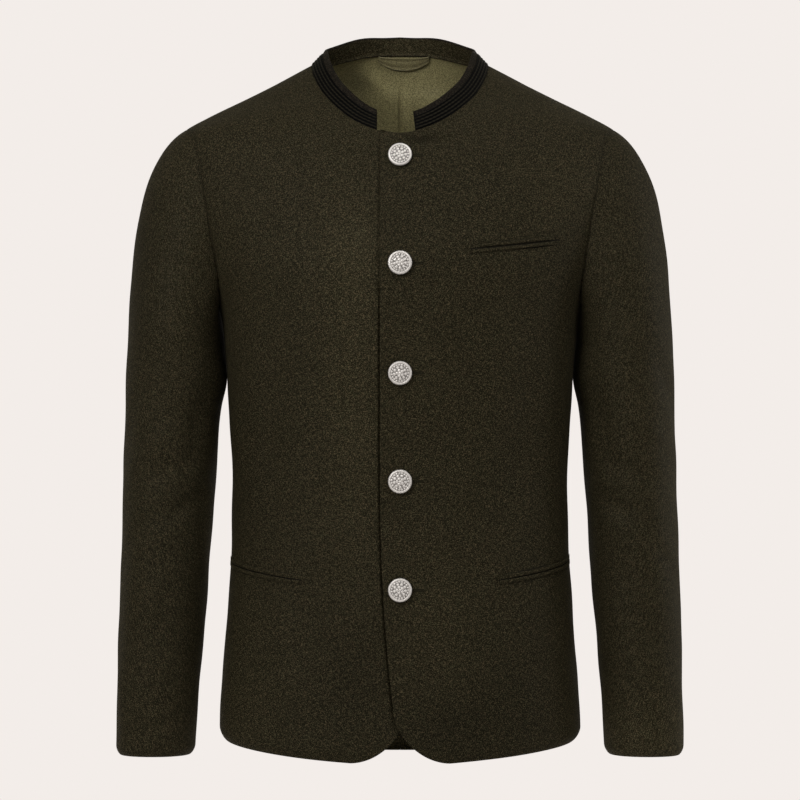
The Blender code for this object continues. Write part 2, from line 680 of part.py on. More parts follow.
def make_button(number, material):
    """A domed shank button with a raised rim and a plain flower, seated on the left front."""
    angle, height = np.array(0.0), np.array(BUTTON_TOP - BUTTON_SPACING * number)
    out = torso_normal(angle, height)
    above = cloth_point("front_left", angle, height, BUTTON_STAND)
    seat = seat_on("front_left", above, out) + out * BUTTON_GAP
    right = np.array([1.0, 0.0, 0.0])
    up = np.cross(right, out)
    turn = np.arange(BUTTON_SEGMENTS) * 2 * math.pi / BUTTON_SEGMENTS
    around = np.outer(np.cos(turn), right) + np.outer(np.sin(turn), up)
    points = [seat + out * (BUTTON_STAND + BUTTON_CROWN)]
    for ring in BUTTON:
        rise = BUTTON_STAND + ring.height + ring.petal_rise * np.cos(turn * BUTTON_PETALS)
        points += list(seat + around * ring.radius + np.outer(rise, out))
    points.append(seat)
    last_ring = 1 + (len(BUTTON) - 1) * BUTTON_SEGMENTS
    faces = []
    for k in range(BUTTON_SEGMENTS):
        after = (k + 1) % BUTTON_SEGMENTS
        faces.append((0, 1 + after, 1 + k))
        faces.append((len(points) - 1, last_ring + k, last_ring + after))
        for first in range(1, last_ring, BUTTON_SEGMENTS):
            second = first + BUTTON_SEGMENTS
            faces.append((first + k, first + after, second + after, second + k))
    make_object(f"button_{number + 1}", points, faces, material)


def make_loop(material):
    """The hanging loop: a strap, broader in its middle, that hangs from the back neck seam off the lining."""
    share = np.linspace(-1.0, 1.0, LOOP_SPANS + 1)
    x = LOOP_CENTRE + LOOP_HALF * share
    slack = 1 - share**2
    width = LOOP_END_WIDTH + (LOOP_WIDTH - LOOP_END_WIDTH) * slack
    heights = LOOP_TOP - LOOP_SAG * slack + np.array([-0.5, 0.5])[:, None] * width
    angles = math.pi - np.arcsin(np.abs(x)[None, :] / half_width_at(heights)) * np.sign(x)[None, :]
    depth = CLOTH + LINING_GAP + LINING_CLOTH + SEAM_GAP + LOOP_STAND * (1 - share**4)
    on_back = torso_form(angles, heights)
    normal = torso_normal(angles, heights)
    outer = on_back - normal * depth[None, :, None]
    make_wall("hanging_loop", outer, outer - normal * LOOP_CLOTH, material)


def main():
    clear_scene()
    wool = make_material("wool", (0.030, 0.024, 0.014), 0.92)
    satin = make_material("lining_satin", (0.105, 0.092, 0.042), 0.45)
    braid = make_material("braid", (0.010, 0.009, 0.006), 0.80)
    metal = make_material("button_metal", (0.60, 0.58, 0.55), 0.38, 1.0)
    for panel in ("front_left", "front_right", "back_left", "back_right"):
        make_torso_panel(panel, wool)
    for panel in ("back_left", "back_right"):
        make_lining(panel, f"lining_{panel}", satin)
    make_sleeve(1, "left", wool)
    make_sleeve(-1, "right", wool)
    make_collar(wool)
    make_braid(braid)
    for pocket in POCKETS:
        make_pocket(pocket, wool)
    for number in range(BUTTON_COUNT):
        make_button(number, metal)
    make_loop(satin)


main()
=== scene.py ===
"""Looks of the trachten jacket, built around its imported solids.

Lengths are metres in the solids' own frame: +X is the wearer's left, -Y the front, +Z up. Each piece of cloth
is a thin shell on its solid's form, with finer creases, rounded edges and a woven finish.
"""

import math
from collections import namedtuple

import bmesh
import bpy
import numpy as np
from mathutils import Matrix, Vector
from mathutils.kdtree import KDTree


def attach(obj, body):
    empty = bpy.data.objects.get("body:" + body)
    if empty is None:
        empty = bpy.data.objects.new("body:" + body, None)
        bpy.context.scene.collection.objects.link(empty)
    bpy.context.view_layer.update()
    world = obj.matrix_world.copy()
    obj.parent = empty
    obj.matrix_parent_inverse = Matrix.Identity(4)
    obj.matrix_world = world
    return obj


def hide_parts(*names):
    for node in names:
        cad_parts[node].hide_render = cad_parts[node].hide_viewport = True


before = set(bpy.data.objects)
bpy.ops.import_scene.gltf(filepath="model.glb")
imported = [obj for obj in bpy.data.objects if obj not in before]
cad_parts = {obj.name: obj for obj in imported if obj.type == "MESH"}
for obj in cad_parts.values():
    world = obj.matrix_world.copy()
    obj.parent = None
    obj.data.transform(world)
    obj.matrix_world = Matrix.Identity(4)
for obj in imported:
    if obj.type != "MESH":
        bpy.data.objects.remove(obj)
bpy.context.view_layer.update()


def table(columns, *rows):
    """A short table, whose rows have named columns."""
    row_type = namedtuple("Row", columns)
    return [row_type(*row) for row in rows]


# Camera: level and far off, centred on the jacket
PIXEL = 0.00103
IMAGE_SIZE = 800
CAMERA_DISTANCE = 3.5
CAMERA_X = 0.0
CAMERA_HEIGHT = -0.345
SENSOR = 36.0

# Surroundings, and soft lamps round the jacket by azimuth from the front and by elevation
BACKGROUND = (0.896, 0.847, 0.815)
AMBIENT = 0.26
FLOOR_COLOUR = (0.80, 0.77, 0.74)
FLOOR_GLOW = 0.72
FLOOR_HEIGHT = -1.45
FLOOR_HALF = 5.5
LAMP_COLOUR = (1.0, 0.98, 0.95)
LAMP_DISTANCE = 2.4
LAMP_SIZE = 1.0
LAMP_TARGET = (0.0, 0.0, -0.33)
LAMPS = table(
    "name azimuth elevation watts glossy",
    ("key", -35, 25, 21.0, True),
    ("fill", 35, 50, 13.8, True),
    ("left_side", -125, 8, 2.0, False),
    ("right_side", 100, 8, 12.5, True),
    ("back_left", 165, 20, 19.0, False),
    ("back_right", -150, 12, 12.0, False),
)

# Colours, in linear light
Tones = namedtuple("Tones", "dark olive tan")
WOOL = Tones((0.0116, 0.0103, 0.0050), (0.0805, 0.0725, 0.0390), (0.1030, 0.0810, 0.0450))
DARK_WOOL = Tones((0.0055, 0.0048, 0.0036), (0.0360, 0.0310, 0.0210), (0.0450, 0.0350, 0.0240))
SATIN_DARK = (0.168, 0.149, 0.070)
SATIN_LIGHT = (0.440, 0.400, 0.196)
# The braid's light tone is its plaits' lighter threads and the painted highlight along its ribs
BRAID_DARK = (0.0012, 0.0011, 0.0009)
BRAID_LIGHT = (0.0330, 0.0290, 0.0190)
# The loop's satin: a darker copy of the lining's tones, as painted shade where the loop stands off the back
# and catches more light
LOOP_DARK = (0.105, 0.091, 0.043)
LOOP_LIGHT = (0.255, 0.228, 0.112)
THREAD_DARK = (0.0190, 0.0168, 0.0090)
THREAD_LIGHT = (0.0420, 0.0370, 0.0210)
METAL_BRIGHT = (0.93, 0.90, 0.87)
METAL_TARNISH = (0.16, 0.15, 0.14)

# Finish of each surface, as constant values on the shader's own sockets
WOOL_FINISH = {
    "Specular IOR Level": 0.05,
    "Sheen Weight": 0.03,
    "Sheen Roughness": 0.45,
    "Sheen Tint": (0.62, 0.57, 0.38, 1),
}
SATIN_FINISH = {
    "Specular IOR Level": 0.40,
    "Sheen Weight": 0.10,
    "Sheen Roughness": 0.35,
    "Sheen Tint": (0.85, 0.80, 0.55, 1),
}
BRAID_FINISH = {
    "Roughness": 0.75,
    "Specular IOR Level": 0.06,
    "Sheen Weight": 0.12,
    "Sheen Roughness": 0.3,
    "Sheen Tint": (0.5, 0.5, 0.36, 1),
}
METAL_FINISH = {"Metallic": 0.40, "Specular IOR Level": 0.5}
FLOOR_FINISH = {"Roughness": 0.9, "Specular IOR Level": 0.1}

# Fineness of the textures: repeats to a metre, roughly
FLECK_SCALE = 1150.0
HUE_SCALE = 420.0
NAP_SCALE = 1400.0
TWILL_SCALE = 190.0
YARN_FINE = 1500.0
YARN_LONG = 260.0
SATIN_FINE = 2600.0
SATIN_LONG = 260.0
PLAIT_SCALE = 130.0
TARNISH_SCALE = 520.0
FLOOR_SCALE = 3.0
FLOOR_MOTTLE = 0.97

# Details of the textures; the lines of the twill and the plaits wobble by an amount, with its own fineness
FIBRE_ROUGHNESS = 0.6
TARNISH_DETAIL = 3.0
TARNISH_ROUGHNESS = 0.65
TWILL_WOBBLE = (1.2, 900.0)
PLAIT_WOBBLE = (2.0, 400.0)
YARN_DETAIL = 1.0

# Radians that a wave texture turns in a metre at a scale of 1
WAVE_RATE = 20.0

# Shares of the first of two textures in their mix
FLECK_SHARE = 0.6
WARP_SHARE = 0.5
THREAD_SHARE = 0.3
PLAIT_SHARE = 0.2
PLAITED_SHARE = 0.6
RELIEF_SHARE = 0.5

# Values of a mix at which a colour starts and ends, or with two more values, the roughness there
HUE_RANGE = (0.40, 0.60)
WOOL_RANGE = (0.49, 0.61)
WOOL_ROUGHNESS = (0.3, 0.7, 0.68, 0.56)
SATIN_RANGE = (0.455, 0.545)
SATIN_ROUGHNESS = (0.35, 0.65, 0.55, 0.42)
BRAID_RANGE = (0.48, 0.92)
METAL_RANGE = (0.22, 0.58)
METAL_ROUGHNESS = (0.2, 0.8, 0.60, 0.40)

# Strength and depth of the finest relief, which is bump
TWILL_BUMP = (0.30, 0.0003)
NAP_BUMP = (0.25, 0.0004)
SATIN_BUMP = (0.22, 0.0002)
PLAIT_BUMP = (0.25, 0.0004)
TARNISH_BUMP = (0.25, 0.0003)

# The wearer's left is on +X
SIDE_SIGN = {"left": 1, "right": -1}
PANELS = ["front_left", "front_right", "back_left", "back_right"]

# Cloth and gaps, how far a seam is pressed, and how dark and wide the painted shade along a seam is
CLOTH = 0.0020
SLEEVE_CLOTH = 0.0018
LINING_CLOTH = 0.0010
COLLAR_CLOTH = 0.0030
SEAM_GAP = 0.0003
LINING_GAP = 0.0004
SEAM_PRESS = 0.0008
SEAM_SHADE = 0.26
SEAM_HALF = 0.0025
RIM_STEPS = 5

# Torso form, from below the hem to the top of the back neck: a ring at each height
TORSO = table(
    "height half_width front_depth back_depth centre power",
    (-0.740, 0.1862, 0.129, 0.120, 0.000, 2.35),
    (-0.675, 0.1852, 0.127, 0.116, 0.000, 2.35),
    (-0.592, 0.1800, 0.123, 0.109, 0.000, 2.35),
    (-0.510, 0.1740, 0.119, 0.101, 0.000, 2.35),
    (-0.448, 0.1724, 0.1175, 0.098, 0.000, 2.35),
    (-0.400, 0.1730, 0.1185, 0.101, 0.000, 2.35),
    (-0.345, 0.1766, 0.1220, 0.107, 0.000, 2.35),
    (-0.300, 0.1795, 0.1262, 0.113, 0.000, 2.32),
    (-0.250, 0.1860, 0.1290, 0.118, 0.000, 2.25),
    (-0.200, 0.2070, 0.128, 0.118, 0.001, 2.15),
    (-0.160, 0.2260, 0.121, 0.114, 0.003, 2.10),
    (-0.120, 0.2370, 0.1135, 0.108, 0.005, 2.05),
    (-0.090, 0.2360, 0.1060, 0.101, 0.006, 2.00),
    (-0.067, 0.2203, 0.0960, 0.095, 0.006, 2.00),
    (-0.0545, 0.1978, 0.0860, 0.0908, 0.006, 2.00),
    (-0.034, 0.1572, 0.0660, 0.083, 0.006, 2.00),
    (0.000, 0.0910, 0.0360, 0.070, 0.006, 2.00),
    (0.025, 0.0420, 0.0180, 0.060, 0.006, 2.00),
)

# Neck and collar
NECK_HALF_WIDTH = 0.091
NECK_DEPTH = 0.0778
NECK_POWER = 1.70
NECK_BACK_RISE = 0.018
NECK_BACK_POWER = 4
COLLAR_END = {"left": 0.0157, "right": 0.0235}
COLLAR = table(
    "turn height lean left_rake right_rake",
    (0.00, 0.0205, math.radians(20), 0.18, 0.39),
    (0.25, 0.0210, math.radians(30), 0.10, 0.14),
    (0.50, 0.0215, math.radians(44), 0.00, 0.00),
    (0.62, 0.0194, math.radians(35), 0.00, 0.00),
    (0.75, 0.0190, math.radians(24), 0.00, 0.00),
    (0.88, 0.0167, math.radians(14), 0.00, 0.00),
    (1.00, 0.0173, math.radians(10), 0.00, 0.00),
)
COLLAR_TURN_IN = 0.0020
COLLAR_TURN_INSET = 0.0016
BRAID_LOW = 0.03
BRAID_HIGH = 0.70
BRAID_BASE = 0.0004
BRAID_RIB = 0.0005
BRAID_RIB_PITCH = 0.0034
BRAID_GAP = 0.0002

# Front edges, hem and side seam
LAP = 0.0195
LAP_RISE = 0.0016
LAP_FLAT = 0.040
LAP_FADE = 0.090
CREASE_FADE = 0.008
SEAM_FADE = 0.020
TROUGH_DEPTH = 0.0026
TROUGH_WIDTH = 0.0018
TROUGH_TOP = -0.082
TROUGH_FADE = 0.020
CREST_REACH = 0.030
CREST = table(
    "height rise",
    (-0.045, 0.0000),
    (-0.080, 0.0000),
    (-0.160, 0.0028),
    (-0.380, 0.0024),
    (-0.520, 0.0006),
    (-0.630, -0.0008),
    (-0.715, 0.0000),
)
EDGE_DRIFT_START = -0.430
EDGE_DRIFT = 0.0127
CORNER_TOP = -0.650
CORNER_START = 0.050
CORNER_POWER = 1.85
HEM_FRONT = -0.706
HEM_SIDE = -0.6855
HEM_BACK = -0.7165
HEM_POWER = 2.0
HEM_ROLL = 0.0035
HEM_ROLL_HEIGHT = 0.009
WAIST = -0.448
SIDE_SEAM_SHIFT = math.radians(9)

# Armhole: an oval cut in the torso form, with its reach to the front and back by its turn, all in degrees
ARMHOLE_TOP = -0.067
ARMHOLE_BOTTOM = -0.250
ARMHOLE_NECK_TURN = math.radians(66)
ARMHOLE = table(
    "turn front back",
    (0, 0.0, 0.0),
    (20, 20.0, 12.7),
    (45, 29.6, 22.7),
    (70, 32.4, 28.5),
    (90, 31.4, 30.0),
    (110, 27.4, 28.5),
    (135, 21.2, 22.7),
    (160, 11.8, 12.7),
    (180, 0.0, 0.0),
)

# Sleeve: a ring at each height below the cap, inner and outer in X, front and back in Y
SLEEVE = table(
    "height inner outer front back",
    (-0.706, 0.2096, 0.2908, -0.068, 0.026),
    (-0.654, 0.2070, 0.2904, -0.069, 0.032),
    (-0.603, 0.2026, 0.2895, -0.068, 0.045),
    (-0.551, 0.1985, 0.2884, -0.067, 0.057),
    (-0.500, 0.1954, 0.2870, -0.066, 0.068),
    (-0.448, 0.1920, 0.2855, -0.066, 0.077),
    (-0.395, 0.1876, 0.2841, -0.067, 0.081),
    (-0.350, 0.1842, 0.2829, -0.068, 0.082),
    (-0.325, 0.1787, 0.2820, -0.069, 0.082),
    (-0.290, 0.1817, 0.2808, -0.070, 0.082),
)
CapTangent = namedtuple("CapTangent", "sideways forward down start finish")
CAP_TOP = CapTangent(0.876, 0.00, 0.48, 0.72, 1.30)
CAP_FRONT = CapTangent(0.55, 0.15, 0.82, 0.50, 0.80)
CAP_BACK = CapTangent(0.55, -0.15, 0.82, 0.50, 0.80)
CAP_BOTTOM = CapTangent(0.10, 0.00, 1.00, 0.30, 0.70)
SLEEVE_POWER = 2.15
UNDER_SLEEVE_TURN = math.radians(123)
CAP_EASE = 0.35

# Largest folds, which the solids have too: place on the torso, half length, half width, depth and lean
FOLD_COLUMNS = "panel angle height length width depth lean"
FOLDS = table(
    FOLD_COLUMNS,
    ("front_right", -29, -0.330, 0.170, 0.024, 0.0022, 3),
    ("front_right", -44, -0.390, 0.130, 0.022, -0.0020, 5),
    ("front_right", -16, -0.590, 0.080, 0.026, -0.0014, -12),
    ("front_left", 24, -0.395, 0.090, 0.018, 0.0016, 20),
    ("front_left", 36, -0.435, 0.100, 0.018, -0.0016, 18),
    ("front_left", 46, -0.360, 0.120, 0.024, -0.0020, -6),
    ("back_left", 150, -0.430, 0.100, 0.026, -0.0020, 14),
    ("back_left", 128, -0.300, 0.110, 0.024, 0.0018, -10),
    ("back_right", -147, -0.440, 0.110, 0.026, -0.0020, -12),
    ("back_right", -126, -0.310, 0.100, 0.024, 0.0018, 12),
)
SLEEVE_FOLDS = table(
    "turn height length width depth lean",
    (95, -0.415, 0.034, 0.011, -0.0030, 74),
    (110, -0.455, 0.040, 0.011, -0.0034, 68),
    (128, -0.360, 0.070, 0.014, -0.0026, 10),
    (236, -0.330, 0.080, 0.015, -0.0026, -8),
    (20, -0.600, 0.090, 0.018, -0.0016, 6),
    (200, -0.290, 0.024, 0.012, 0.0042, 0),
)

# Metres of cloth to a radian of the torso and of a sleeve, by which the folds are placed
FOLD_ARC = 0.15
SLEEVE_ARC = 0.06

# Finer creases of the torso, in the same columns
CREASES = table(
    FOLD_COLUMNS,
    ("front_left", 21, -0.470, 0.060, 0.009, -0.0010, 34),
    ("front_left", 30, -0.520, 0.070, 0.010, 0.0010, 30),
    ("front_left", 17, -0.270, 0.050, 0.012, -0.0008, 28),
    ("front_left", 62, -0.300, 0.060, 0.009, -0.0011, -22),
    ("front_left", 68, -0.355, 0.055, 0.008, 0.0009, -30),
    ("front_left", 14, -0.640, 0.050, 0.014, -0.0009, -30),
    ("front_left", 40, -0.620, 0.070, 0.016, 0.0010, 8),
    ("front_left", 9, -0.0850, 0.022, 0.0055, -0.0024, 84),
    ("front_right", -22, -0.470, 0.050, 0.010, 0.0009, -8),
    ("front_right", -17, -0.430, 0.060, 0.009, -0.0008, -14),
    ("front_right", -60, -0.310, 0.060, 0.009, -0.0011, 20),
    ("front_right", -69, -0.365, 0.050, 0.008, 0.0009, 27),
    ("front_right", -36, -0.600, 0.080, 0.018, 0.0010, -10),
    ("back_left", 164, -0.470, 0.050, 0.010, 0.0016, 60),
    ("back_left", 150, -0.395, 0.055, 0.011, -0.0019, 66),
    ("back_left", 118, -0.360, 0.060, 0.010, -0.0019, 24),
    ("back_left", 135, -0.590, 0.090, 0.018, 0.0021, 6),
    ("back_left", 158, -0.090, 0.060, 0.014, -0.0019, 70),
    ("back_right", -161, -0.480, 0.060, 0.010, 0.0016, -58),
    ("back_right", -152, -0.405, 0.050, 0.011, -0.0019, -68),
    ("back_right", -116, -0.350, 0.070, 0.010, -0.0019, -20),
    ("back_right", -138, -0.610, 0.080, 0.018, 0.0021, -8),
    ("back_right", -156, -0.085, 0.070, 0.014, -0.0019, -72),
)
SLEEVE_CREASES = table(
    "side turn height length width depth lean",
    ("left", 40, -0.330, 0.050, 0.010, -0.0012, 30),
    ("left", 70, -0.375, 0.040, 0.009, 0.0012, 62),
    ("left", 60, -0.500, 0.050, 0.010, -0.0014, 50),
    ("left", 100, -0.540, 0.050, 0.012, -0.0014, 28),
    ("left", 35, -0.660, 0.050, 0.014, 0.0010, -14),
    ("left", 300, -0.420, 0.060, 0.012, -0.0016, -50),
    ("left", 270, -0.470, 0.050, 0.012, -0.0018, -62),
    ("left", 315, -0.300, 0.060, 0.014, 0.0012, -24),
    ("right", 48, -0.345, 0.050, 0.011, -0.0012, 24),
    ("right", 76, -0.390, 0.040, 0.009, 0.0012, 56),
    ("right", 52, -0.485, 0.060, 0.011, -0.0014, 44),
    ("right", 92, -0.570, 0.050, 0.012, -0.0014, 20),
    ("right", 28, -0.640, 0.060, 0.014, 0.0010, -18),
    ("right", 296, -0.430, 0.060, 0.012, -0.0016, -46),
    ("right", 272, -0.480, 0.050, 0.012, -0.0018, -58),
    ("right", 312, -0.310, 0.060, 0.014, 0.0012, -28),
)

# Painted light and shade: soft patches that make the cloth's colour lighter or darker in place of light and
# shadow that the lamps don't give, among them a painted highlight band, a painted shadow under the left
# collar's end, painted light on the collar, the collar's painted shadow on the lining, a painted shade line
# down the lining's centre back and a painted light strip on the right sleeve's inner edge: place, half sizes,
# and a share of the lightness
PAINTED_LIGHT_PATCHES = table(
    "panel x height half_width half_height share",
    # painted highlight: a broad light band beside the lapped edge
    ("front_right", -0.047, -0.330, 0.031, 0.190, 0.30),
    ("front_right", -0.048, -0.195, 0.032, 0.045, 0.24),
    ("front_right", -0.150, -0.430, 0.030, 0.090, -0.09),
    ("front_right", -0.048, -0.625, 0.042, 0.060, -0.18),
    ("front_right", -0.165, -0.630, 0.028, 0.080, 0.10),
    # painted shadow under the left collar's end
    ("front_left", 0.021, -0.084, 0.015, 0.005, -0.40),
    ("front_left", 0.012, -0.310, 0.030, 0.055, 0.14),
    ("front_left", 0.038, -0.555, 0.038, 0.075, 0.16),
    ("front_left", 0.045, -0.672, 0.050, 0.030, -0.24),
    ("front_left", 0.112, -0.640, 0.040, 0.065, -0.14),
    ("front_left", 0.170, -0.130, 0.036, 0.040, 0.18),
    ("front_left", 0.175, -0.640, 0.024, 0.070, 0.16),
    ("back_left", 0.060, -0.300, 0.034, 0.160, 0.16),
    ("back_left", 0.120, -0.600, 0.050, 0.090, -0.12),
    ("back_right", -0.075, -0.340, 0.034, 0.150, 0.14),
    ("back_right", -0.100, -0.640, 0.060, 0.070, 0.12),
    ("sleeve_left", 0.275, -0.420, 0.030, 0.120, 0.12),
    ("sleeve_left", 0.262, -0.700, 0.050, 0.060, 0.42),
    ("sleeve_right", -0.275, -0.210, 0.036, 0.090, -0.18),
    ("sleeve_right", -0.230, -0.560, 0.030, 0.090, -0.10),
    # painted light strip along the right sleeve's inner edge
    ("sleeve_right", -0.194, -0.475, 0.006, 0.050, 1.00),
    # painted light on the collar, against its shade
    ("collar", 0.000, 0.020, 0.090, 0.040, 0.45),
    # the collar's painted shadow on the lining
    ("lining_back_right", -0.048, -0.016, 0.017, 0.022, -0.34),
    ("lining_back_right", -0.024, -0.010, 0.010, 0.016, 0.14),
    # painted shade line down the lining's centre back
    ("lining_back_right", -0.0012, -0.046, 0.0009, 0.022, -0.60),
    ("lining_back_left", 0.0065, -0.044, 0.0045, 0.022, 0.16),
    ("lining_back_left", 0.050, -0.022, 0.016, 0.018, -0.10),
)

# Gentle unevenness of all the cloth: wave lengths, with one depth for the torso and sleeves
WAVES = (0.047, 0.063, 0.081, 0.115)
WAVE_DEPTH = 0.00022
WAVE_SEED = 11

# Darts of the fronts: a sewn line seen from the front
DART_X = 0.1128
DART_TOP = -0.262
DART_BOTTOM = -0.520
DART_WIDTH = 0.0013
DART_DEPTH = 0.0008
DART_FADE = 0.020
DART_COLUMNS = np.linspace(-2.5, 2.5, 11)

# Pockets: two piped lips along a slanted cut, between two places seen from the front, and the half width of a
# near-black strip of painted shade in the slit
POCKETS = table(
    "name panel start_x start_height end_x end_height slit",
    ("chest_pocket", "front_left", 0.0700, -0.1950, 0.1600, -0.1840, 0.0017),
    ("hip_pocket_left", "front_left", 0.0990, -0.5250, 0.1735, -0.5070, 0.0011),
    ("hip_pocket_right", "front_right", -0.0990, -0.5250, -0.1735, -0.5090, 0.0011),
)
LIP_HEIGHT = 0.0046
LIP_GAP = 0.0004
LIP_EDGE = 0.0002
LIP_CROWN = 0.0015
LIP_ROUNDNESS = 0.7
LIP_TAPER = 0.22
LIP_END = 0.05
MOUTH_GAP = 0.0001
MOUTH_CLOTH = 0.0003
LIP_SPANS = 60

# Painted shadows of the sewn ditches: dark strips along the lips' outer edges, between two shares of the
# pocket's length
PAINTED_DITCH_SHADOWS = table(
    "pocket lip start finish width",
    ("chest_pocket", "upper", 0.10, 0.80, 0.0004),
    ("chest_pocket", "lower", 0.42, 1.00, 0.0009),
    ("hip_pocket_left", "upper", 0.00, 0.55, 0.0010),
    ("hip_pocket_right", "upper", 0.00, 0.35, 0.0005),
    ("hip_pocket_right", "lower", 0.40, 0.75, 0.0005),
)
DITCH_UNDER = 0.0006
LIP_STEPS = 12

# Buttons, from the top one down
BUTTON_TOP = -0.1010
BUTTON_SPACING = 0.1083
BUTTON_COUNT = 5
BUTTON_GAP = 0.0006
BUTTON_STAND = 0.0024
BUTTON_RADIUS = 0.0120
BUTTON_DOME = 0.0015
BUTTON_EDGE = 0.0004
BUTTON_ROUNDING = 0.0006
BUTTON_RELIEF = 0.0008
BUTTON_RINGS = 54
BUTTON_FIRST_RING = 0.02
BUTTON_SEGMENTS = 168
SHANK_RADIUS = 0.0036

# A button's ornament: a small flower within rings of bosses, and a rope rim; heights are shares of the relief
BOSSES = table(
    "count place size shift height",
    (5, 0.0027, 0.00165, 0.0, 0.95),
    (9, 0.0057, 0.00155, 0.3, 0.90),
    (19, 0.0083, 0.00110, 0.5, 0.78),
)
HEART = 0.0013
ROPE_PLACE = 0.0106
ROPE_SIZE = 0.00105
ROPE_TWISTS = 52
ROPE_SOLID = 0.85
ROPE_SQUARENESS = 4
STIPPLE = 5200.0
STIPPLE_RISE = 0.10

# Rings of a button's underside: radius and depth under its edge
BUTTON_UNDERSIDE = table(
    "radius depth",
    (0.0118, 0.0006),
    (0.0108, 0.0010),
    (SHANK_RADIUS, 0.0012),
    (SHANK_RADIUS, BUTTON_STAND),
)

# Buttonholes, from the button towards the wearer's left
HOLE_START = 0.0030
HOLE_END = 0.0225
HOLE_HALF = 0.0008
HOLE_THREAD = 0.0005
HOLE_STITCH = 0.0009
STITCH_POINTS = 6
THREAD_SIDES = 8
THREAD_WIDE = 1.2
THREAD_FLAT = 0.8
STITCH_LOW = 0.85
STITCH_SWELL = 0.25

# Hanging loop
LOOP_HALF = 0.0285
LOOP_CENTRE = 0.0040
LOOP_SAG = 0.0050
LOOP_WIDTH = 0.0130
LOOP_END_WIDTH = 0.0062
LOOP_CLOTH = 0.0014
LOOP_STAND = 0.0022
LOOP_ROLLS = 2
LOOP_SWELL = 0.0004
LOOP_TOP = 0.0144
LOOP_FLATNESS = 4

# Flat cuts of what shows of each cloth piece, and how it is held
CUTS = table(
    "piece width length area held",
    ("front", 0.300, 0.870, 0.181, "hung"),
    ("back", 0.265, 0.865, 0.160, "hung"),
    ("lining", 0.260, 0.825, 0.150, "hung"),
    ("sleeve_top", 0.360, 0.660, 0.146, "hung"),
    ("sleeve_under", 0.156, 0.510, 0.058, "hung"),
    ("collar", 0.545, 0.025, 0.0131, "folded"),
    ("braid", 0.545, 0.015, 0.0078, "laid"),
    ("chest_lip", 0.010, 0.100, 0.00046, "folded"),
    ("hip_lip", 0.010, 0.130, 0.00062, "folded"),
    ("loop", 0.060, 0.014, 0.00074, "hung"),
)

# Lining and facing: soft folds towards the wearer, and a pleat line down the centre back
LINING_FOLDS = table(
    FOLD_COLUMNS,
    ("back_right", -164, -0.009, 0.036, 0.007, -0.0024, 66),
    ("back_right", -158, -0.040, 0.040, 0.008, -0.0026, 58),
    ("back_right", -140, -0.022, 0.022, 0.012, -0.0020, 20),
    ("back_left", 160, -0.024, 0.036, 0.009, -0.0020, -58),
    ("back_left", 146, -0.006, 0.028, 0.010, -0.0016, -66),
    ("back_left", 170, -0.300, 0.120, 0.012, -0.0022, 4),
    ("back_right", -166, -0.330, 0.140, 0.014, -0.0024, -5),
    ("back_left", 142, -0.470, 0.120, 0.016, -0.0026, 8),
    ("back_right", -140, -0.450, 0.110, 0.014, -0.0022, -9),
)
PLEAT_RISE = 0.0016
PLEAT_HALF = 0.0018
PLEAT_TOP = -0.014
PLEAT_FADE = 0.014
LINING_HEM = 0.035
FACING_WIDTH = 0.075
CUFF_FACING = 0.035

# Spans of each stretch of a panel's edge, which neighbours share
CORNER_SPANS = 24
EDGE_SPANS = 108
CHEST_SPANS = 46
FREE_NECK_SPANS = 8
NECK_SPANS = 40
ACROSS_SPANS = 80
CENTRE_CROWDING = 1.3
LAP_SHARE = 0.105
LAP_SPANS = 60
CAP_SPANS = 56
ARM_SPANS = 108
CUFF_SHARE = 0.03
CUFF_SPANS = 12
TOP_TURNS = 92
UNDER_TURNS = 40
COLLAR_SPANS = 8
BRAID_SPANS = 36
LOOP_ROWS = 25
LOOP_SPANS = 60

# Small steps by which directions on the forms are worked out
ANGLE_STEP = math.radians(0.25)
HEIGHT_STEP = 0.0005
ALONG_STEP = 0.002


def unit(vectors):
    return vectors / np.linalg.norm(vectors, axis=-1, keepdims=True)


def smooth_step(values):
    share = np.clip(values, 0.0, 1.0)
    return share * share * (3.0 - 2.0 * share)


def hermite(t, start, leaving, finish, arriving):
    """A smooth curve between two points, which leaves and arrives in given directions."""
    first = start * (2 * t**3 - 3 * t**2 + 1) + leaving * (t**3 - 2 * t**2 + t)
    return first + (finish * (3 * t**2 - 2 * t**3) + arriving * (t**3 - t**2))


def smooth_columns(rows):
    """Smooth curves through a table's columns, each as a function of its first column."""
    numbers = np.array(sorted(rows), float)
    places = numbers[:, 0]

    def curve(values):
        slopes = np.gradient(values, places)

        def read(place):
            place = np.asarray(place, float)
            low = np.clip(np.searchsorted(places, place) - 1, 0, len(places) - 2)
            span = places[low + 1] - places[low]
            t = (place - places[low]) / span
            return hermite(t, values[low], slopes[low] * span, values[low + 1], slopes[low + 1] * span)

        return read

    return [curve(values) for values in numbers.T[1:]]


half_width_at, front_depth_at, back_depth_at, centre_at, power_at = smooth_columns(TORSO)
collar_height_at, collar_lean_at, left_rake_at, right_rake_at = smooth_columns(COLLAR)
armhole_front_at, armhole_back_at = smooth_columns(ARMHOLE)
sleeve_sides_at = smooth_columns(SLEEVE)
(crest_at,) = smooth_columns(CREST)


def signed_power(base, exponent):
    return np.sign(base) * np.abs(base) ** exponent


def torso_form(angle, height):
    """Points of the torso form. Angle 0 is the centre front and 90 degrees the wearer's left side."""
    exponent = 2.0 / power_at(height)
    depth = np.where(np.cos(angle) > 0, front_depth_at(height), back_depth_at(height))
    x = half_width_at(height) * signed_power(np.sin(angle), exponent)
    y = centre_at(height) - depth * signed_power(np.cos(angle), exponent)
    return np.stack(np.broadcast_arrays(x, y, height), -1)


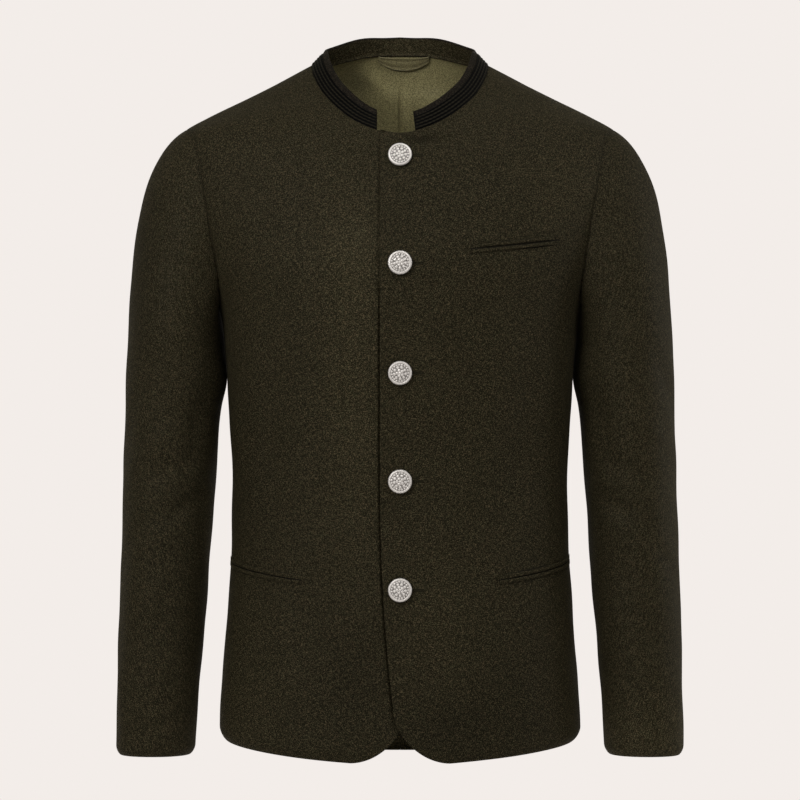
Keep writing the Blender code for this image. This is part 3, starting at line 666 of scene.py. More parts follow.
def torso_normal(angle, height):
    around = torso_form(angle + ANGLE_STEP, height) - torso_form(angle - ANGLE_STEP, height)
    upward = torso_form(angle, height + HEIGHT_STEP) - torso_form(angle, height - HEIGHT_STEP)
    return unit(np.cross(around, upward))


def ridge(across, along, length, width, depth, lean):
    """One soft ridge or trough, leaning by some degrees from the upright."""
    turn = math.radians(lean)
    beside = across * math.cos(turn) - along * math.sin(turn)
    beyond = across * math.sin(turn) + along * math.cos(turn)
    return depth * np.exp(-((beside / width) ** 2) - (beyond / length) ** 2)


def painted_light_share(panel, points):
    """How much the painted light and shade make each point of a panel lighter or darker."""
    total = np.zeros(len(points))
    for patch in PAINTED_LIGHT_PATCHES:
        if patch.panel == panel:
            across = (points[:, 0] - patch.x) / patch.half_width
            along = (points[:, 2] - patch.height) / patch.half_height
            total = total + patch.share * np.exp(-(across**2) - along**2)
    return total


def painted_seam_shade(grid, sides):
    """How dark the painted shade makes the outer points of a grid near the sides where it is sewn to another
    piece.
    """
    rows = {"first row": grid[0], "last row": grid[-1]}
    columns = {"first column": grid[:, 0], "last column": grid[:, -1]}
    line = np.concatenate([(rows | columns)[side] for side in sides])
    tree = KDTree(len(line))
    for number, point in enumerate(line):
        tree.insert(point, number)
    tree.balance()
    away = np.array([tree.find(point)[2] for point in grid.reshape(-1, 3)])
    return SEAM_SHADE * np.exp(-((away / SEAM_HALF) ** 2))


def set_painted_light(made, panel, shade=()):
    """Keeps a piece's painted light and shade on its points, for the wool to read, with painted shade on the
    outer points.
    """
    points = np.zeros(3 * len(made.data.vertices), np.float32)
    made.data.vertices.foreach_get("co", points)
    share = painted_light_share(panel, points.reshape(-1, 3))
    share[: len(shade)] = (1 + share[: len(shade)]) * (1 - np.array(shade)) - 1
    # the attribute named nap holds the painted light and shade, not the cloth's nap
    made.data.attributes.new("nap", "FLOAT", "POINT").data.foreach_set("value", share.astype(np.float32))


def waviness(points):
    """Slight unevenness of hanging cloth, from a few seeded waves in all directions."""
    draw = np.random.default_rng(WAVE_SEED)
    total = 0.0 * points[..., 0]
    for length in WAVES:
        heading, phase = unit(draw.normal(size=3)), draw.uniform(0, 2 * math.pi)
        total = total + np.sin(2 * math.pi * (points @ heading) / length + phase)
    return WAVE_DEPTH * total


def fold_rise(folds, panel, angle, height):
    """Rise of all of a table's folds that lie on one panel."""
    total = np.zeros(np.broadcast(angle, height).shape)
    for fold in folds:
        if fold.panel == panel:
            across = (angle - math.radians(fold.angle)) * FOLD_ARC
            along = height - fold.height
            total = total + ridge(across, along, fold.length, fold.width, fold.depth, fold.lean)
    return total


def torso_creases(panel, angle, height, points):
    """Finer creases of a panel, which fade out where the fronts lap and along the centre back seam."""
    x = np.abs(points[..., 0])
    creases = fold_rise(CREASES, panel, angle, height)
    if panel.startswith("front"):
        return (waviness(points) + creases) * smooth_step((x - LAP) / CREASE_FADE)
    return waviness(points) + creases * smooth_step(x / SEAM_FADE)


def crest(panel, x, height):
    """The fronts' rise towards the lapped edge."""
    if panel.startswith("back"):
        return 0.0 * x
    return crest_at(height) * np.exp(-np.abs(x + LAP) / CREST_REACH)


def lap_trough(panel, x, height):
    """The right front dips beside the lapped edge, so that the edge stands out."""
    if panel != "front_right":
        return 0.0 * x
    share = smooth_step((TROUGH_TOP - height) / TROUGH_FADE)
    return -TROUGH_DEPTH * share * np.exp(-(((x - edge_x_at(height)) / TROUGH_WIDTH) ** 2))


def lap_lift(panel, x):
    """The left front rises over the right one where they lap at the centre."""
    if panel == "front_left":
        return LAP_RISE * smooth_step((LAP_FADE - x) / (LAP_FADE - LAP_FLAT))
    if panel == "front_right":
        return -LAP_RISE * smooth_step((LAP_FADE + x) / (LAP_FADE - LAP_FLAT))
    return 0.0 * x


def cloth_point(panel, angle, height, out=0.0):
    """A point of a torso panel's outer face, moved out along its normal."""
    base = torso_form(angle, height)
    x = base[..., 0]
    lift = fold_rise(FOLDS, panel, angle, height) + torso_creases(panel, angle, height, base)
    lift = lift + lap_lift(panel, x) + crest(panel, x, height) + lap_trough(panel, x, height) + out
    return base + torso_normal(angle, height) * lift[..., None]


def angle_at(x, height):
    """The angle on the front of the torso form at a place seen from the front."""
    share = np.clip(np.abs(x) / half_width_at(height), 0.0, 1.0)
    return np.sign(x) * np.arcsin(share ** (power_at(height) / 2.0))


def armhole(turn):
    """Angle and height of the left armhole: turn 0 is the shoulder tip, 90 degrees the front."""
    middle, half = (ARMHOLE_TOP + ARMHOLE_BOTTOM) / 2, (ARMHOLE_TOP - ARMHOLE_BOTTOM) / 2
    from_top = np.degrees(np.arccos(np.cos(turn)))
    reach = np.where(np.sin(turn) > 0, armhole_front_at(from_top), -armhole_back_at(from_top))
    return math.pi / 2 - np.radians(reach), middle + half * np.cos(turn)


def spaced(start, finish, spans):
    return np.linspace(start, finish, spans + 1)[1:]


def armhole_turns():
    """Turns of the armhole's points from the underarm up to the shoulder tip."""
    low = spaced(math.pi, ARMHOLE_NECK_TURN, CHEST_SPANS)
    return np.concatenate([low, spaced(ARMHOLE_NECK_TURN, 0.0, NECK_SPANS)])


def side_edge(front):
    """Side seam from the hem to the underarm, then the armhole to the shoulder tip, as angles and heights."""
    corner = np.linspace(HEM_SIDE, CORNER_TOP, CORNER_SPANS + 1)
    height = np.concatenate([corner, spaced(CORNER_TOP, ARMHOLE_BOTTOM, EDGE_SPANS)])
    angle = math.pi / 2 + SIDE_SEAM_SHIFT * smooth_step((ARMHOLE_BOTTOM - height) / (ARMHOLE_BOTTOM - WAIST))
    turns = armhole_turns() * (1 if front else -1)
    hole_angle, hole_height = armhole(turns)
    return np.concatenate([angle, hole_angle]), np.concatenate([height, hole_height])


def neck_height(x):
    """Height of the front neckline at a place seen from the front."""
    share = np.clip(np.abs(x) / NECK_HALF_WIDTH, 0.0, 1.0)
    return -NECK_DEPTH * (1.0 - share**NECK_POWER) ** (1.0 / NECK_POWER)


def edge_x_at(height):
    """Place of the left front's lapped edge seen from the front, with its round hem corner."""
    drift = np.clip((EDGE_DRIFT_START - height) / (EDGE_DRIFT_START - CORNER_TOP), 0.0, 1.0)
    edge_x = EDGE_DRIFT * drift**2 - LAP
    fall = np.clip((CORNER_TOP - height) / (CORNER_TOP - HEM_FRONT), 0.0, 1.0)
    return edge_x + (CORNER_START - edge_x) * (1 - (1 - fall**CORNER_POWER) ** (1 / CORNER_POWER))


def front_edge(collar_end):
    """Rounded hem corner, lapped edge and neckline of a front, as angles and heights on the left side.

    The neckline is free from the lapped edge to the collar's end, and then carries the collar.
    """
    turn = np.linspace(0.0, math.pi / 2, CORNER_SPANS + 1)
    edge_bottom = EDGE_DRIFT - LAP
    corner_x = CORNER_START - (CORNER_START - edge_bottom) * signed_power(np.sin(turn), 2.0 / CORNER_POWER)
    corner_height = CORNER_TOP - (CORNER_TOP - HEM_FRONT) * signed_power(np.cos(turn), 2.0 / CORNER_POWER)
    rise = spaced(CORNER_TOP, ARMHOLE_BOTTOM, EDGE_SPANS)
    chest = spaced(ARMHOLE_BOTTOM, neck_height(LAP), CHEST_SPANS - FREE_NECK_SPANS)
    edge_height = np.concatenate([rise, chest])
    free_x = np.linspace(-LAP, collar_end, FREE_NECK_SPANS + 2)[1:-1]
    start = math.asin(collar_end / NECK_HALF_WIDTH)
    collar_x = NECK_HALF_WIDTH * np.sin(np.linspace(start, math.pi / 2, NECK_SPANS))
    neck_x = np.concatenate([free_x, collar_x])
    x = np.concatenate([corner_x, edge_x_at(edge_height), neck_x])
    height = np.concatenate([corner_height, edge_height, neck_height(neck_x)])
    return angle_at(x, height), height


def back_edge():
    """Centre back seam and back neckline of the left back, as angles and heights."""
    corner = np.linspace(HEM_BACK, CORNER_TOP, CORNER_SPANS + 1)
    rise = spaced(CORNER_TOP, ARMHOLE_BOTTOM, EDGE_SPANS)
    chest = spaced(ARMHOLE_BOTTOM, NECK_BACK_RISE, CHEST_SPANS)
    neck_angle = spaced(math.pi, math.pi / 2, NECK_SPANS)
    seam = np.concatenate([corner, rise, chest])
    angle = np.concatenate([np.full(len(seam), math.pi), neck_angle])
    return angle, np.concatenate([seam, NECK_BACK_RISE * (1.0 - np.sin(neck_angle) ** NECK_BACK_POWER)])


def dart_share(panel_angle, panel_height):
    """Where along a front's rows its dart lies, as a share from the centre edge to the side."""
    row = np.argmin(np.abs(panel_height[:, 0] - (DART_TOP + DART_BOTTOM) / 2))
    dart_angle = angle_at(DART_X, panel_height[row, 0])
    return (dart_angle - panel_angle[row, 0]) / (panel_angle[row, -1] - panel_angle[row, 0])


def column_shares(panel, ends_angle, ends_height):
    """Shares of a panel's columns, closer at the centre back, along a dart and beside the lapped edge."""
    share = np.linspace(0.0, 1.0, ACROSS_SPANS + 1)
    if panel.startswith("back"):
        return share**CENTRE_CROWDING
    dart = dart_share(ends_angle, ends_height)
    near = DART_COLUMNS * DART_WIDTH / FOLD_ARC / np.ptp(ends_angle[len(ends_angle) // 3])
    share = np.concatenate([share[np.abs(share - dart) > 2 * near[-1]], dart + near])
    if panel == "front_right":
        lap = np.linspace(0.0, LAP_SHARE, LAP_SPANS + 1)
        share = np.concatenate([lap, share[share > LAP_SHARE + 1.0 / ACROSS_SPANS / 2]])
    return np.sort(share)


def hem_sweep(share, centre_height):
    """Shares of a back panel's rise towards its side: its hem starts level from the centre."""
    near_hem = np.clip((CORNER_TOP - centre_height) / (CORNER_TOP - HEM_BACK), 0.0, 1.0)[:, None]
    return share + near_hem * (share**HEM_POWER - share)


def torso_grid(panel):
    """Angles and heights of a torso panel: rows from hem to shoulder, columns from centre to side."""
    half, side = panel.split("_")
    front = half == "front"
    centre_angle, centre_height = front_edge(COLLAR_END[side]) if front else back_edge()
    side_angle, side_height = side_edge(front)
    ends_angle = np.stack([centre_angle, side_angle], -1)
    ends_height = np.stack([centre_height, side_height], -1)
    share = column_shares(panel, ends_angle, ends_height)
    angle = ends_angle[:, :1] + (ends_angle[:, 1:] - ends_angle[:, :1]) * share
    rise = share if front else hem_sweep(share, centre_height)
    height = ends_height[:, :1] + (ends_height[:, 1:] - ends_height[:, :1]) * rise
    return angle * SIDE_SIGN[side], height, share


def dart_groove(panel, angle, height, share):
    """A sewn line down a front, as a narrow groove."""
    if not panel.startswith("front"):
        return 0.0 * angle
    ends_angle = np.abs(angle[:, [0, -1]])
    dart = dart_share(ends_angle, height[:, [0, -1]])
    row_length = np.ptp(ends_angle, axis=1)[:, None] * FOLD_ARC
    across = (share - dart)[None, :] * row_length
    fade = smooth_step((DART_TOP - height) / DART_FADE) * smooth_step((height - DART_BOTTOM) / DART_FADE)
    return -DART_DEPTH * fade * np.exp(-((across / DART_WIDTH) ** 2))


def cloth_map(grid, start):
    """Flat cloth coordinates of a grid in metres: across from the first column, and up from the first row."""
    across = np.linalg.norm(np.diff(grid, axis=1), axis=-1)
    upward = np.linalg.norm(np.diff(grid, axis=0), axis=-1)
    u = np.concatenate([np.zeros((len(grid), 1)), np.cumsum(across, axis=1)], axis=1) + start[:, None]
    v = np.concatenate([np.zeros((1, grid.shape[1])), np.cumsum(upward, axis=0)], axis=0)
    return np.stack([u, v], -1)


def border_of(index):
    return np.concatenate([index[0, :-1], index[:-1, -1], index[-1, :0:-1], index[:0:-1, 0]])


def make_mesh(name, points, faces, materials, face_slots=None, cloth_uv=None):
    """A named, smooth mesh with its faces turned outwards, riding on the one body."""
    mesh = bpy.data.meshes.new(name)
    mesh.from_pydata(np.asarray(points, float).tolist(), [], faces)
    build = bmesh.new()
    build.from_mesh(mesh)
    bmesh.ops.recalc_face_normals(build, faces=build.faces)
    build.to_mesh(mesh)
    build.free()
    mesh.shade_smooth()
    for material in materials:
        mesh.materials.append(material)
    if face_slots is not None:
        mesh.polygons.foreach_set("material_index", np.asarray(face_slots, np.int32))
    if cloth_uv is not None:
        corner = np.zeros(len(mesh.loops), np.int32)
        mesh.loops.foreach_get("vertex_index", corner)
        layer = mesh.uv_layers.new(name="cloth")
        layer.data.foreach_set("uv", np.asarray(cloth_uv, np.float32)[corner].ravel())
    made = bpy.data.objects.new(name, mesh)
    bpy.context.scene.collection.objects.link(made)
    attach(made, "root")
    return made


def make_shell(name, outer, inner, cloth_uv, materials, inner_slots=None, press=SEAM_PRESS):
    """A cloth shell between two grids, with rounded edges that press on their neighbours in a seam."""
    rows, columns = outer.shape[:2]
    count = rows * columns
    index = np.arange(count).reshape(rows, columns)
    inside = np.pad(index[1:-1, 1:-1], 1, mode="edge")
    border = border_of(index)
    outer, inner, flat_uv = outer.reshape(-1, 3).copy(), inner.reshape(-1, 3).copy(), cloth_uv.reshape(-1, 2)
    edge, through = outer[border], outer[border] - inner[border]
    half = np.linalg.norm(through, axis=1, keepdims=True) / 2
    along = unit(np.roll(edge, -1, axis=0) - np.roll(edge, 1, axis=0))
    off = unit(np.cross(along, through))
    off *= np.sign(np.sum(off * (edge - outer[border_of(inside)])))
    for grid in (outer, inner):
        grid[border] -= off * (half - press / 2)
    middle = (outer[border] + inner[border]) / 2
    radius = (outer[border] - inner[border]) / 2
    loops, rim = [border], []
    for step in range(1, RIM_STEPS):
        turn = math.pi * step / RIM_STEPS
        rim.append(middle + radius * math.cos(turn) + off * half * math.sin(turn))
        loops.append(2 * count + (step - 1) * len(border) + np.arange(len(border)))
    loops.append(border + count)
    quads = np.stack([index[:-1, :-1], index[:-1, 1:], index[1:, 1:], index[1:, :-1]], -1).reshape(-1, 4)
    around = [np.stack([a, np.roll(a, -1), np.roll(b, -1), b], -1) for a, b in zip(loops, loops[1:])]
    faces = np.concatenate([quads, quads + count, *around])
    slots = np.zeros(len(faces), np.int32)
    if inner_slots is not None:
        slots[len(quads) : 2 * len(quads)] = inner_slots[:-1, :-1].ravel()
    points = np.concatenate([outer, inner, *rim])
    uv = np.concatenate([flat_uv, flat_uv] + [flat_uv[border]] * len(rim))
    return make_mesh(name, points, faces.tolist(), materials, slots, uv)


def stand_for(node):
    """Let a cloth piece stand for its solid, by hiding the solid."""
    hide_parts(node)


def hem_roll(height, hem):
    """How far the cloth rolls in where it is turned up at its hem."""
    return HEM_ROLL * np.clip(1 - (height - hem) / HEM_ROLL_HEIGHT, 0, 1) ** 2


def make_torso_panel(panel, wool, satin, thread):
    angle, height, share = torso_grid(panel)
    rolled = hem_roll(height, height[:1])
    sewn = dart_groove(panel, angle, height, share)
    outer = cloth_point(panel, angle, height, sewn - rolled)
    inner = cloth_point(panel, angle, height, -CLOTH - rolled)
    cloth_uv = cloth_map(outer, np.abs(outer[:, 0, 0]))
    lined = np.zeros(angle.shape, int)
    if panel.startswith("front"):
        lined = (cloth_uv[..., 0] > FACING_WIDTH) & (height > HEM_FRONT + LINING_HEM)
    made = make_shell(f"{panel}_cloth", outer, inner, cloth_uv, [wool, satin], lined.astype(int))
    half, side = panel.split("_")
    centre_seam = [] if half == "front" else ["first column"]
    # painted shade along the sewn sides
    set_painted_light(made, panel, painted_seam_shade(outer, [*centre_seam, "last column", "last row"]))
    holes = []
    if panel == "front_left":
        holes = [make_buttonhole(number, thread) for number in range(BUTTON_COUNT)]
    stand_for(panel)


def lining_folds(panel, angle, height):
    """Folds of the loose lining, which lies closer to the back along its centre seam and its edges."""
    total = fold_rise(LINING_FOLDS, panel, angle, height)
    x = torso_form(angle, height)[..., 0]
    pleat = smooth_step((PLEAT_TOP - height) / PLEAT_FADE) * (1 - np.exp(-((x / PLEAT_HALF) ** 2)))
    return total - PLEAT_RISE * pleat


def make_lining(panel, satin):
    """The lining of one back panel, from above its hem up to the neck and shoulder seams."""
    angle, height, _ = torso_grid(panel)
    angle, height = angle[CORNER_SPANS:].copy(), height[CORNER_SPANS:].copy()
    height[0] += HEM_BACK + LINING_HEM - CORNER_TOP
    start = lining_folds(panel, angle, height) - CLOTH - LINING_GAP
    outer = cloth_point(panel, angle, height, start)
    inner = cloth_point(panel, angle, height, start - LINING_CLOTH)
    cloth_uv = cloth_map(outer, np.abs(outer[:, 0, 0]))
    made = make_shell(f"lining_{panel}_satin", outer, inner, cloth_uv, [satin])
    set_painted_light(made, f"lining_{panel}")
    stand_for(f"lining_{panel}")


def blend_cap(turn):
    """The sleeve cap's leaving direction and stiffness at a turn round the armhole."""
    cosine, sine = np.cos(turn), np.sin(turn)
    weights = [
        (CAP_TOP, np.maximum(cosine, 0) ** 2),
        (CAP_BOTTOM, np.maximum(-cosine, 0) ** 2),
        (CAP_FRONT, np.maximum(sine, 0) ** 2),
        (CAP_BACK, np.maximum(-sine, 0) ** 2),
    ]
    return [sum(weight * row[k] for row, weight in weights) for k in range(len(CapTangent._fields))]


def sleeve_ring(turn, height):
    """A point of the left sleeve's ring at a height: turn 0 is outside, 90 degrees the front."""
    inner, outer, front, back = (side_at(height) for side_at in sleeve_sides_at)
    exponent = 2.0 / SLEEVE_POWER
    x = (inner + outer) / 2 + (outer - inner) / 2 * signed_power(np.cos(turn), exponent)
    y = (front + back) / 2 - (back - front) / 2 * signed_power(np.sin(turn), exponent)
    return np.stack(np.broadcast_arrays(x, y, height), -1)


def sleeve_start(turn):
    """Where the sleeve leaves the armhole: butted to the seam on top, over the cloth at the underarm."""
    angle, height = armhole(turn)
    lapped = np.maximum(-np.cos(turn), 0)[..., None] ** 2
    sideways, forward, down = blend_cap(turn)[:3]
    leave = unit(np.stack([sideways, -forward, -down], -1))
    outward = torso_normal(angle, height)
    return torso_form(angle, height) + SEAM_GAP * (leave * (1 - lapped) / 2 + outward * lapped * 2)


def sleeve_form(turn, along):
    """A point of the left sleeve: along 0 is the armhole, 1 the ring under the cap, 2 the cuff."""
    turn, along = np.broadcast_arrays(turn, along)
    cap_height, cuff_height = SLEEVE[-1].height, SLEEVE[0].height
    arm = sleeve_ring(turn, cap_height + (cuff_height - cap_height) * np.clip(along - 1, 0, 1))
    start = sleeve_start(turn)
    finish = sleeve_ring(turn, np.full(turn.shape, cap_height))
    sideways, forward, down, leave, arrive = blend_cap(turn)
    chord = np.linalg.norm(finish - start, axis=-1)
    leaving = unit(np.stack([sideways, -forward, -down], -1)) * (chord * leave)[..., None]
    below = sleeve_ring(turn, np.full(turn.shape, cap_height - HEIGHT_STEP))
    arriving = unit(below - finish) * (chord * arrive)[..., None]
    t = np.clip(along, 0, 1)[..., None]
    cap = hermite(t, start, leaving, finish, arriving)
    return np.where((along > 1)[..., None], arm, cap)


def sleeve_normal(turn, along):
    low, high = np.clip(along - ALONG_STEP, 0, 2), np.clip(along + ALONG_STEP, 0, 2)
    around = sleeve_form(turn + ANGLE_STEP, along) - sleeve_form(turn - ANGLE_STEP, along)
    down = sleeve_form(turn, high) - sleeve_form(turn, low)
    return unit(np.cross(around, down))


def sleeve_lift(side, turn, form, points):
    """Folds and finer creases of one sleeve, as a rise over its form, rolled in at the cuff."""
    height = form[..., 2]
    total = waviness(points) - hem_roll(height, SLEEVE[0].height)
    rows = SLEEVE_FOLDS + [crease for crease in SLEEVE_CREASES if crease.side == side]
    for fold in rows:
        across = (turn - math.radians(fold.turn)) * SLEEVE_ARC
        along = height - fold.height
        total = total + ridge(across, along, fold.length, fold.width, fold.depth, fold.lean)
    return total


def armhole_lift(side, turn):
    """How far the torso's cloth lies off its form round one armhole, seen as on the left side."""
    angle, height = armhole(turn)
    mirror = SIDE_SIGN[side]
    on_form = torso_form(mirror * angle, height)
    front = cloth_point(f"front_{side}", mirror * angle, height) - on_form
    back = cloth_point(f"back_{side}", mirror * angle, height) - on_form
    return np.where((np.sin(turn) > 0)[..., None], front, back) * np.array([mirror, 1, 1])


def make_sleeve_piece(side, name, turns, wool, satin):
    """One piece of a sleeve between two seams, with rows from the armhole to the cuff."""
    arm = [spaced(1, 2 - CUFF_SHARE, ARM_SPANS), spaced(2 - CUFF_SHARE, 2, CUFF_SPANS)]
    turn, along = np.meshgrid(turns, np.concatenate([np.linspace(0, 1, CAP_SPANS + 1), *arm]))
    base, normal = sleeve_form(turn, along), sleeve_normal(turn, along)
    flip = np.array([SIDE_SIGN[side], 1, 1])
    lift = sleeve_lift(side, turn % (2 * math.pi), base, base * flip)
    ease = smooth_step(along / CAP_EASE)[..., None]
    outer = base + normal * lift[..., None] * ease + armhole_lift(side, turn) * (1 - ease)
    inner = outer - normal * SLEEVE_CLOTH
    cloth_uv = cloth_map(outer, turn[:, 0] * SLEEVE_ARC)
    lined = base[..., 2] > SLEEVE[0].height + CUFF_FACING
    node = f"sleeve_{name}_{side}"
    hind_side = "first column" if name == "top" else "last column"
    made = make_shell(f"{node}_cloth", outer * flip, inner * flip, cloth_uv, [wool, satin], lined.astype(int))
    # painted shade along the sewn sides
    set_painted_light(made, f"sleeve_{side}", painted_seam_shade(outer, ["first row", hind_side]))
    stand_for(node)


def make_sleeve(side, wool, satin):
    """Top and under sleeve of one arm, parted at the front and hind seams."""
    front_seam, hind_seam = UNDER_SLEEVE_TURN, 2 * math.pi - UNDER_SLEEVE_TURN
    top = np.linspace(hind_seam - 2 * math.pi, front_seam, TOP_TURNS + 1)
    under = np.linspace(front_seam, hind_seam, UNDER_TURNS + 1)
    make_sleeve_piece(side, "top", top, wool, satin)
    make_sleeve_piece(side, "under", under, wool, satin)


def collar_base():
    """Neckline points from the left collar end round the back to the right one, with turns and rakes."""
    left_angle, left_height = (values[-NECK_SPANS:] for values in front_edge(COLLAR_END["left"]))
    right_angle, right_height = (values[-NECK_SPANS:] for values in front_edge(COLLAR_END["right"]))
    back_angle, back_height = (values[-2 : -NECK_SPANS - 2 : -1] for values in back_edge())
    left_front = cloth_point("front_left", left_angle, left_height)
    right_front = cloth_point("front_right", -right_angle, right_height)
    left_back = cloth_point("back_left", back_angle, back_height)
    right_back = left_back * np.array([-1, 1, 1])
    points = np.concatenate([left_front, left_back, right_back[-2::-1], right_front[::-1]])
    turns = np.concatenate([np.linspace(0.0, 0.5, NECK_SPANS), spaced(0.5, 1.0, NECK_SPANS)])
    rake = np.concatenate([left_rake_at(turns), right_rake_at(turns[-2::-1])])
    return points, np.concatenate([turns, turns[-2::-1]]), rake


def collar_frame():
    """Base points, upward directions, outward normals and heights of the collar band."""
    base, turn, rake = collar_base()
    along = unit(np.gradient(base, axis=0, edge_order=2))
    upright = np.array([0.0, 0.0, 1.0])
    rise = unit(upright - along * along[:, 2:3])
    inward = np.cross(rise, along)
    inward *= -np.sign(np.sum(inward * base, axis=1, keepdims=True))
    lean = collar_lean_at(turn)[:, None]
    direction = rise * np.cos(lean) + inward * np.sin(lean)
    outward = rise * np.sin(lean) - inward * np.cos(lean)
    backward = along * np.sign(along[:, 1:2])
    direction = direction + backward * rake[:, None]
    return base, direction, outward, collar_height_at(turn)[:, None]


def make_collar(wool, dark_wool):
    base, direction, outward, height = collar_frame()
    share = np.linspace(0.0, 1.0, COLLAR_SPANS + 1)[:, None, None]
    outer = base + direction * (SEAM_GAP + height * share)
    turned_in = base - direction * COLLAR_TURN_IN - outward * COLLAR_TURN_INSET
    outer = np.concatenate([turned_in[None], outer])
    inner = outer - outward * COLLAR_CLOTH
    inside = np.ones(outer.shape[:2], np.int32)
    cloth_uv = cloth_map(outer, np.zeros(len(outer)))
    made = make_shell("collar_cloth", outer, inner, cloth_uv, [dark_wool, wool], inside)
    set_painted_light(made, "collar")
    stand_for("collar")


def make_braid(material):
    """A dark braid on the collar, its ribs following the lower edge and turning up along the two ends."""
    base, direction, outward, height = collar_frame()
    share = np.linspace(BRAID_LOW, BRAID_HIGH, BRAID_SPANS + 1)[:, None, None]
    on_collar = base + direction * (SEAM_GAP + height * share)
    cloth_uv = cloth_map(on_collar, np.zeros(len(on_collar)))
    from_end = np.minimum(cloth_uv[..., 0], cloth_uv[:, -1:, 0] - cloth_uv[..., 0])
    from_edge = np.minimum(from_end, cloth_uv[..., 1])
    rib = BRAID_BASE + BRAID_RIB * np.abs(np.sin(math.pi * from_edge / BRAID_RIB_PITCH))
    inner = on_collar + outward * BRAID_GAP
    made = make_shell("collar_braid_cord", inner + outward * rib[..., None], inner, cloth_uv, [material])
    stand_for("collar_braid")


def pocket_line(pocket, share):
    """Angles and heights along a pocket's cut, from its start to its end."""
    start_angle = float(angle_at(pocket.start_x, pocket.start_height))
    end_angle = float(angle_at(pocket.end_x, pocket.end_height))
    angle = start_angle + (end_angle - start_angle) * share
    return angle, pocket.start_height + (pocket.end_height - pocket.start_height) * share


def lay_strip(name, pocket, share, low, high, shade):
    """A thin dark strip of painted shade on the front along a pocket, between two offsets from the pocket's
    cut.
    """
    angle, middle = pocket_line(pocket, share)
    across = np.stack(np.broadcast_arrays(low, (low + high) / 2, high))
    angles, heights = np.broadcast_arrays(angle[None, :], middle[None, :] + across)
    inner = cloth_point(pocket.panel, angles, heights, MOUTH_GAP)
    outer = inner + torso_normal(angles, heights) * MOUTH_CLOTH
    cloth_uv = cloth_map(outer, across[:, 0])
    made = make_shell(name, outer, inner, cloth_uv, [shade], press=0.0)
    return made


def make_painted_ditch_shadow(ditch_shadow, pocket, shade):
    """A painted shadow in the sewn edge of one lip: a dark strip, which swells and fades along its length."""
    share = np.linspace(ditch_shadow.start, ditch_shadow.finish, LIP_SPANS + 1)
    swell = np.sqrt(np.sin(math.pi * np.linspace(0.0, 1.0, LIP_SPANS + 1)))
    edge = LIP_HEIGHT + (ditch_shadow.width + DITCH_UNDER) * swell - DITCH_UNDER
    under = np.full(edge.shape, LIP_HEIGHT - 2 * DITCH_UNDER)
    name = f"{ditch_shadow.pocket}_{ditch_shadow.lip}_ditch"
    if ditch_shadow.lip == "upper":
        return lay_strip(name, pocket, share, under, edge, shade)
    return lay_strip(name, pocket, share, -edge, -under, shade)


def make_pocket(pocket, wool, shade):
    """Two piped lips lying on the front, above and below a near-black strip of painted shade in the pocket's
    mouth.
    """
    share = np.linspace(0.0, 1.0, LIP_SPANS + 1)
    angle, middle = pocket_line(pocket, share)
    turn = np.linspace(0.0, math.pi, LIP_STEPS + 1)[:, None]
    taper = LIP_END + (1 - LIP_END) * smooth_step(np.minimum(share, 1 - share) / LIP_TAPER)
    crown = LIP_EDGE + LIP_CROWN * np.sin(turn) ** LIP_ROUNDNESS * taper
    half = np.full(share.shape, pocket.slit)
    # a near-black strip in the slit, as painted shade in the pocket's mouth
    mouth_shadow = lay_strip(f"{pocket.name}_mouth", pocket, share, -half, half, shade)
    near = pocket.slit / 2
    for lip, low, high in (("upper", near, LIP_HEIGHT), ("lower", -LIP_HEIGHT, -near)):
        across = (low + high) / 2 - (high - low) / 2 * np.cos(turn)
        angles, heights = np.broadcast_arrays(angle[None, :], middle[None, :] + across)
        inner = cloth_point(pocket.panel, angles, heights, LIP_GAP)
        outer = inner + torso_normal(angles, heights) * crown[..., None]
        node = f"{pocket.name}_{lip}"
        cloth_uv = cloth_map(outer, np.zeros(len(outer)))
        made = make_shell(f"{node}_cloth", outer, inner, cloth_uv, [wool], press=0.0)
        rows = [row for row in PAINTED_DITCH_SHADOWS if (row.pocket, row.lip) == (pocket.name, lip)]
        painted_shadow_strips = [make_painted_ditch_shadow(row, pocket, shade) for row in rows]
        if lip == "upper":
            painted_shadow_strips.append(mouth_shadow)
        stand_for(node)


def bosses(row, radius, turn):
    """Height from 0 to 1 of a ring of round bosses."""
    pitch = 2 * math.pi / row.count
    across = ((turn / pitch + row.shift) % 1.0 - 0.5) * pitch * row.place
    reach = (across**2 + (radius - row.place) ** 2) / row.size**2
    return np.sqrt(np.clip(1 - reach, 0, 1))


def button_relief(radius, turn):
    """Raised ornament of a button: bosses round a heart on a stippled ground, within a twisted rim."""
    rope = 0.5 + 0.5 * np.cos(turn * ROPE_TWISTS + radius / ROPE_SIZE)
    rim = np.exp(-(((radius - ROPE_PLACE) / ROPE_SIZE) ** ROPE_SQUARENESS))
    rim = rim * (ROPE_SOLID + (1 - ROPE_SOLID) * rope)
    heart = np.sqrt(np.clip(1 - (radius / HEART) ** 2, 0, 1))
    x, y = radius * np.cos(turn), radius * np.sin(turn)
    ground = STIPPLE_RISE * (1 + np.sin(x * STIPPLE) * np.sin(y * STIPPLE))
    rings = [row.height * bosses(row, radius, turn) for row in BOSSES]
    return np.maximum.reduce([rim, heart, ground, *rings])


def tube_faces(numbers):
    """Faces between neighbouring rings of points, from the points' numbers."""
    after = np.roll(numbers, -1, axis=1)
    return np.stack([numbers[:-1], after[:-1], after[1:], numbers[1:]], -1).reshape(-1, 4).tolist()


def fan_faces(centre, ring):
    """Faces from one point to the ring of points round it."""
    return [(centre, a, b) for a, b in zip(ring.tolist(), np.roll(ring, -1).tolist())]


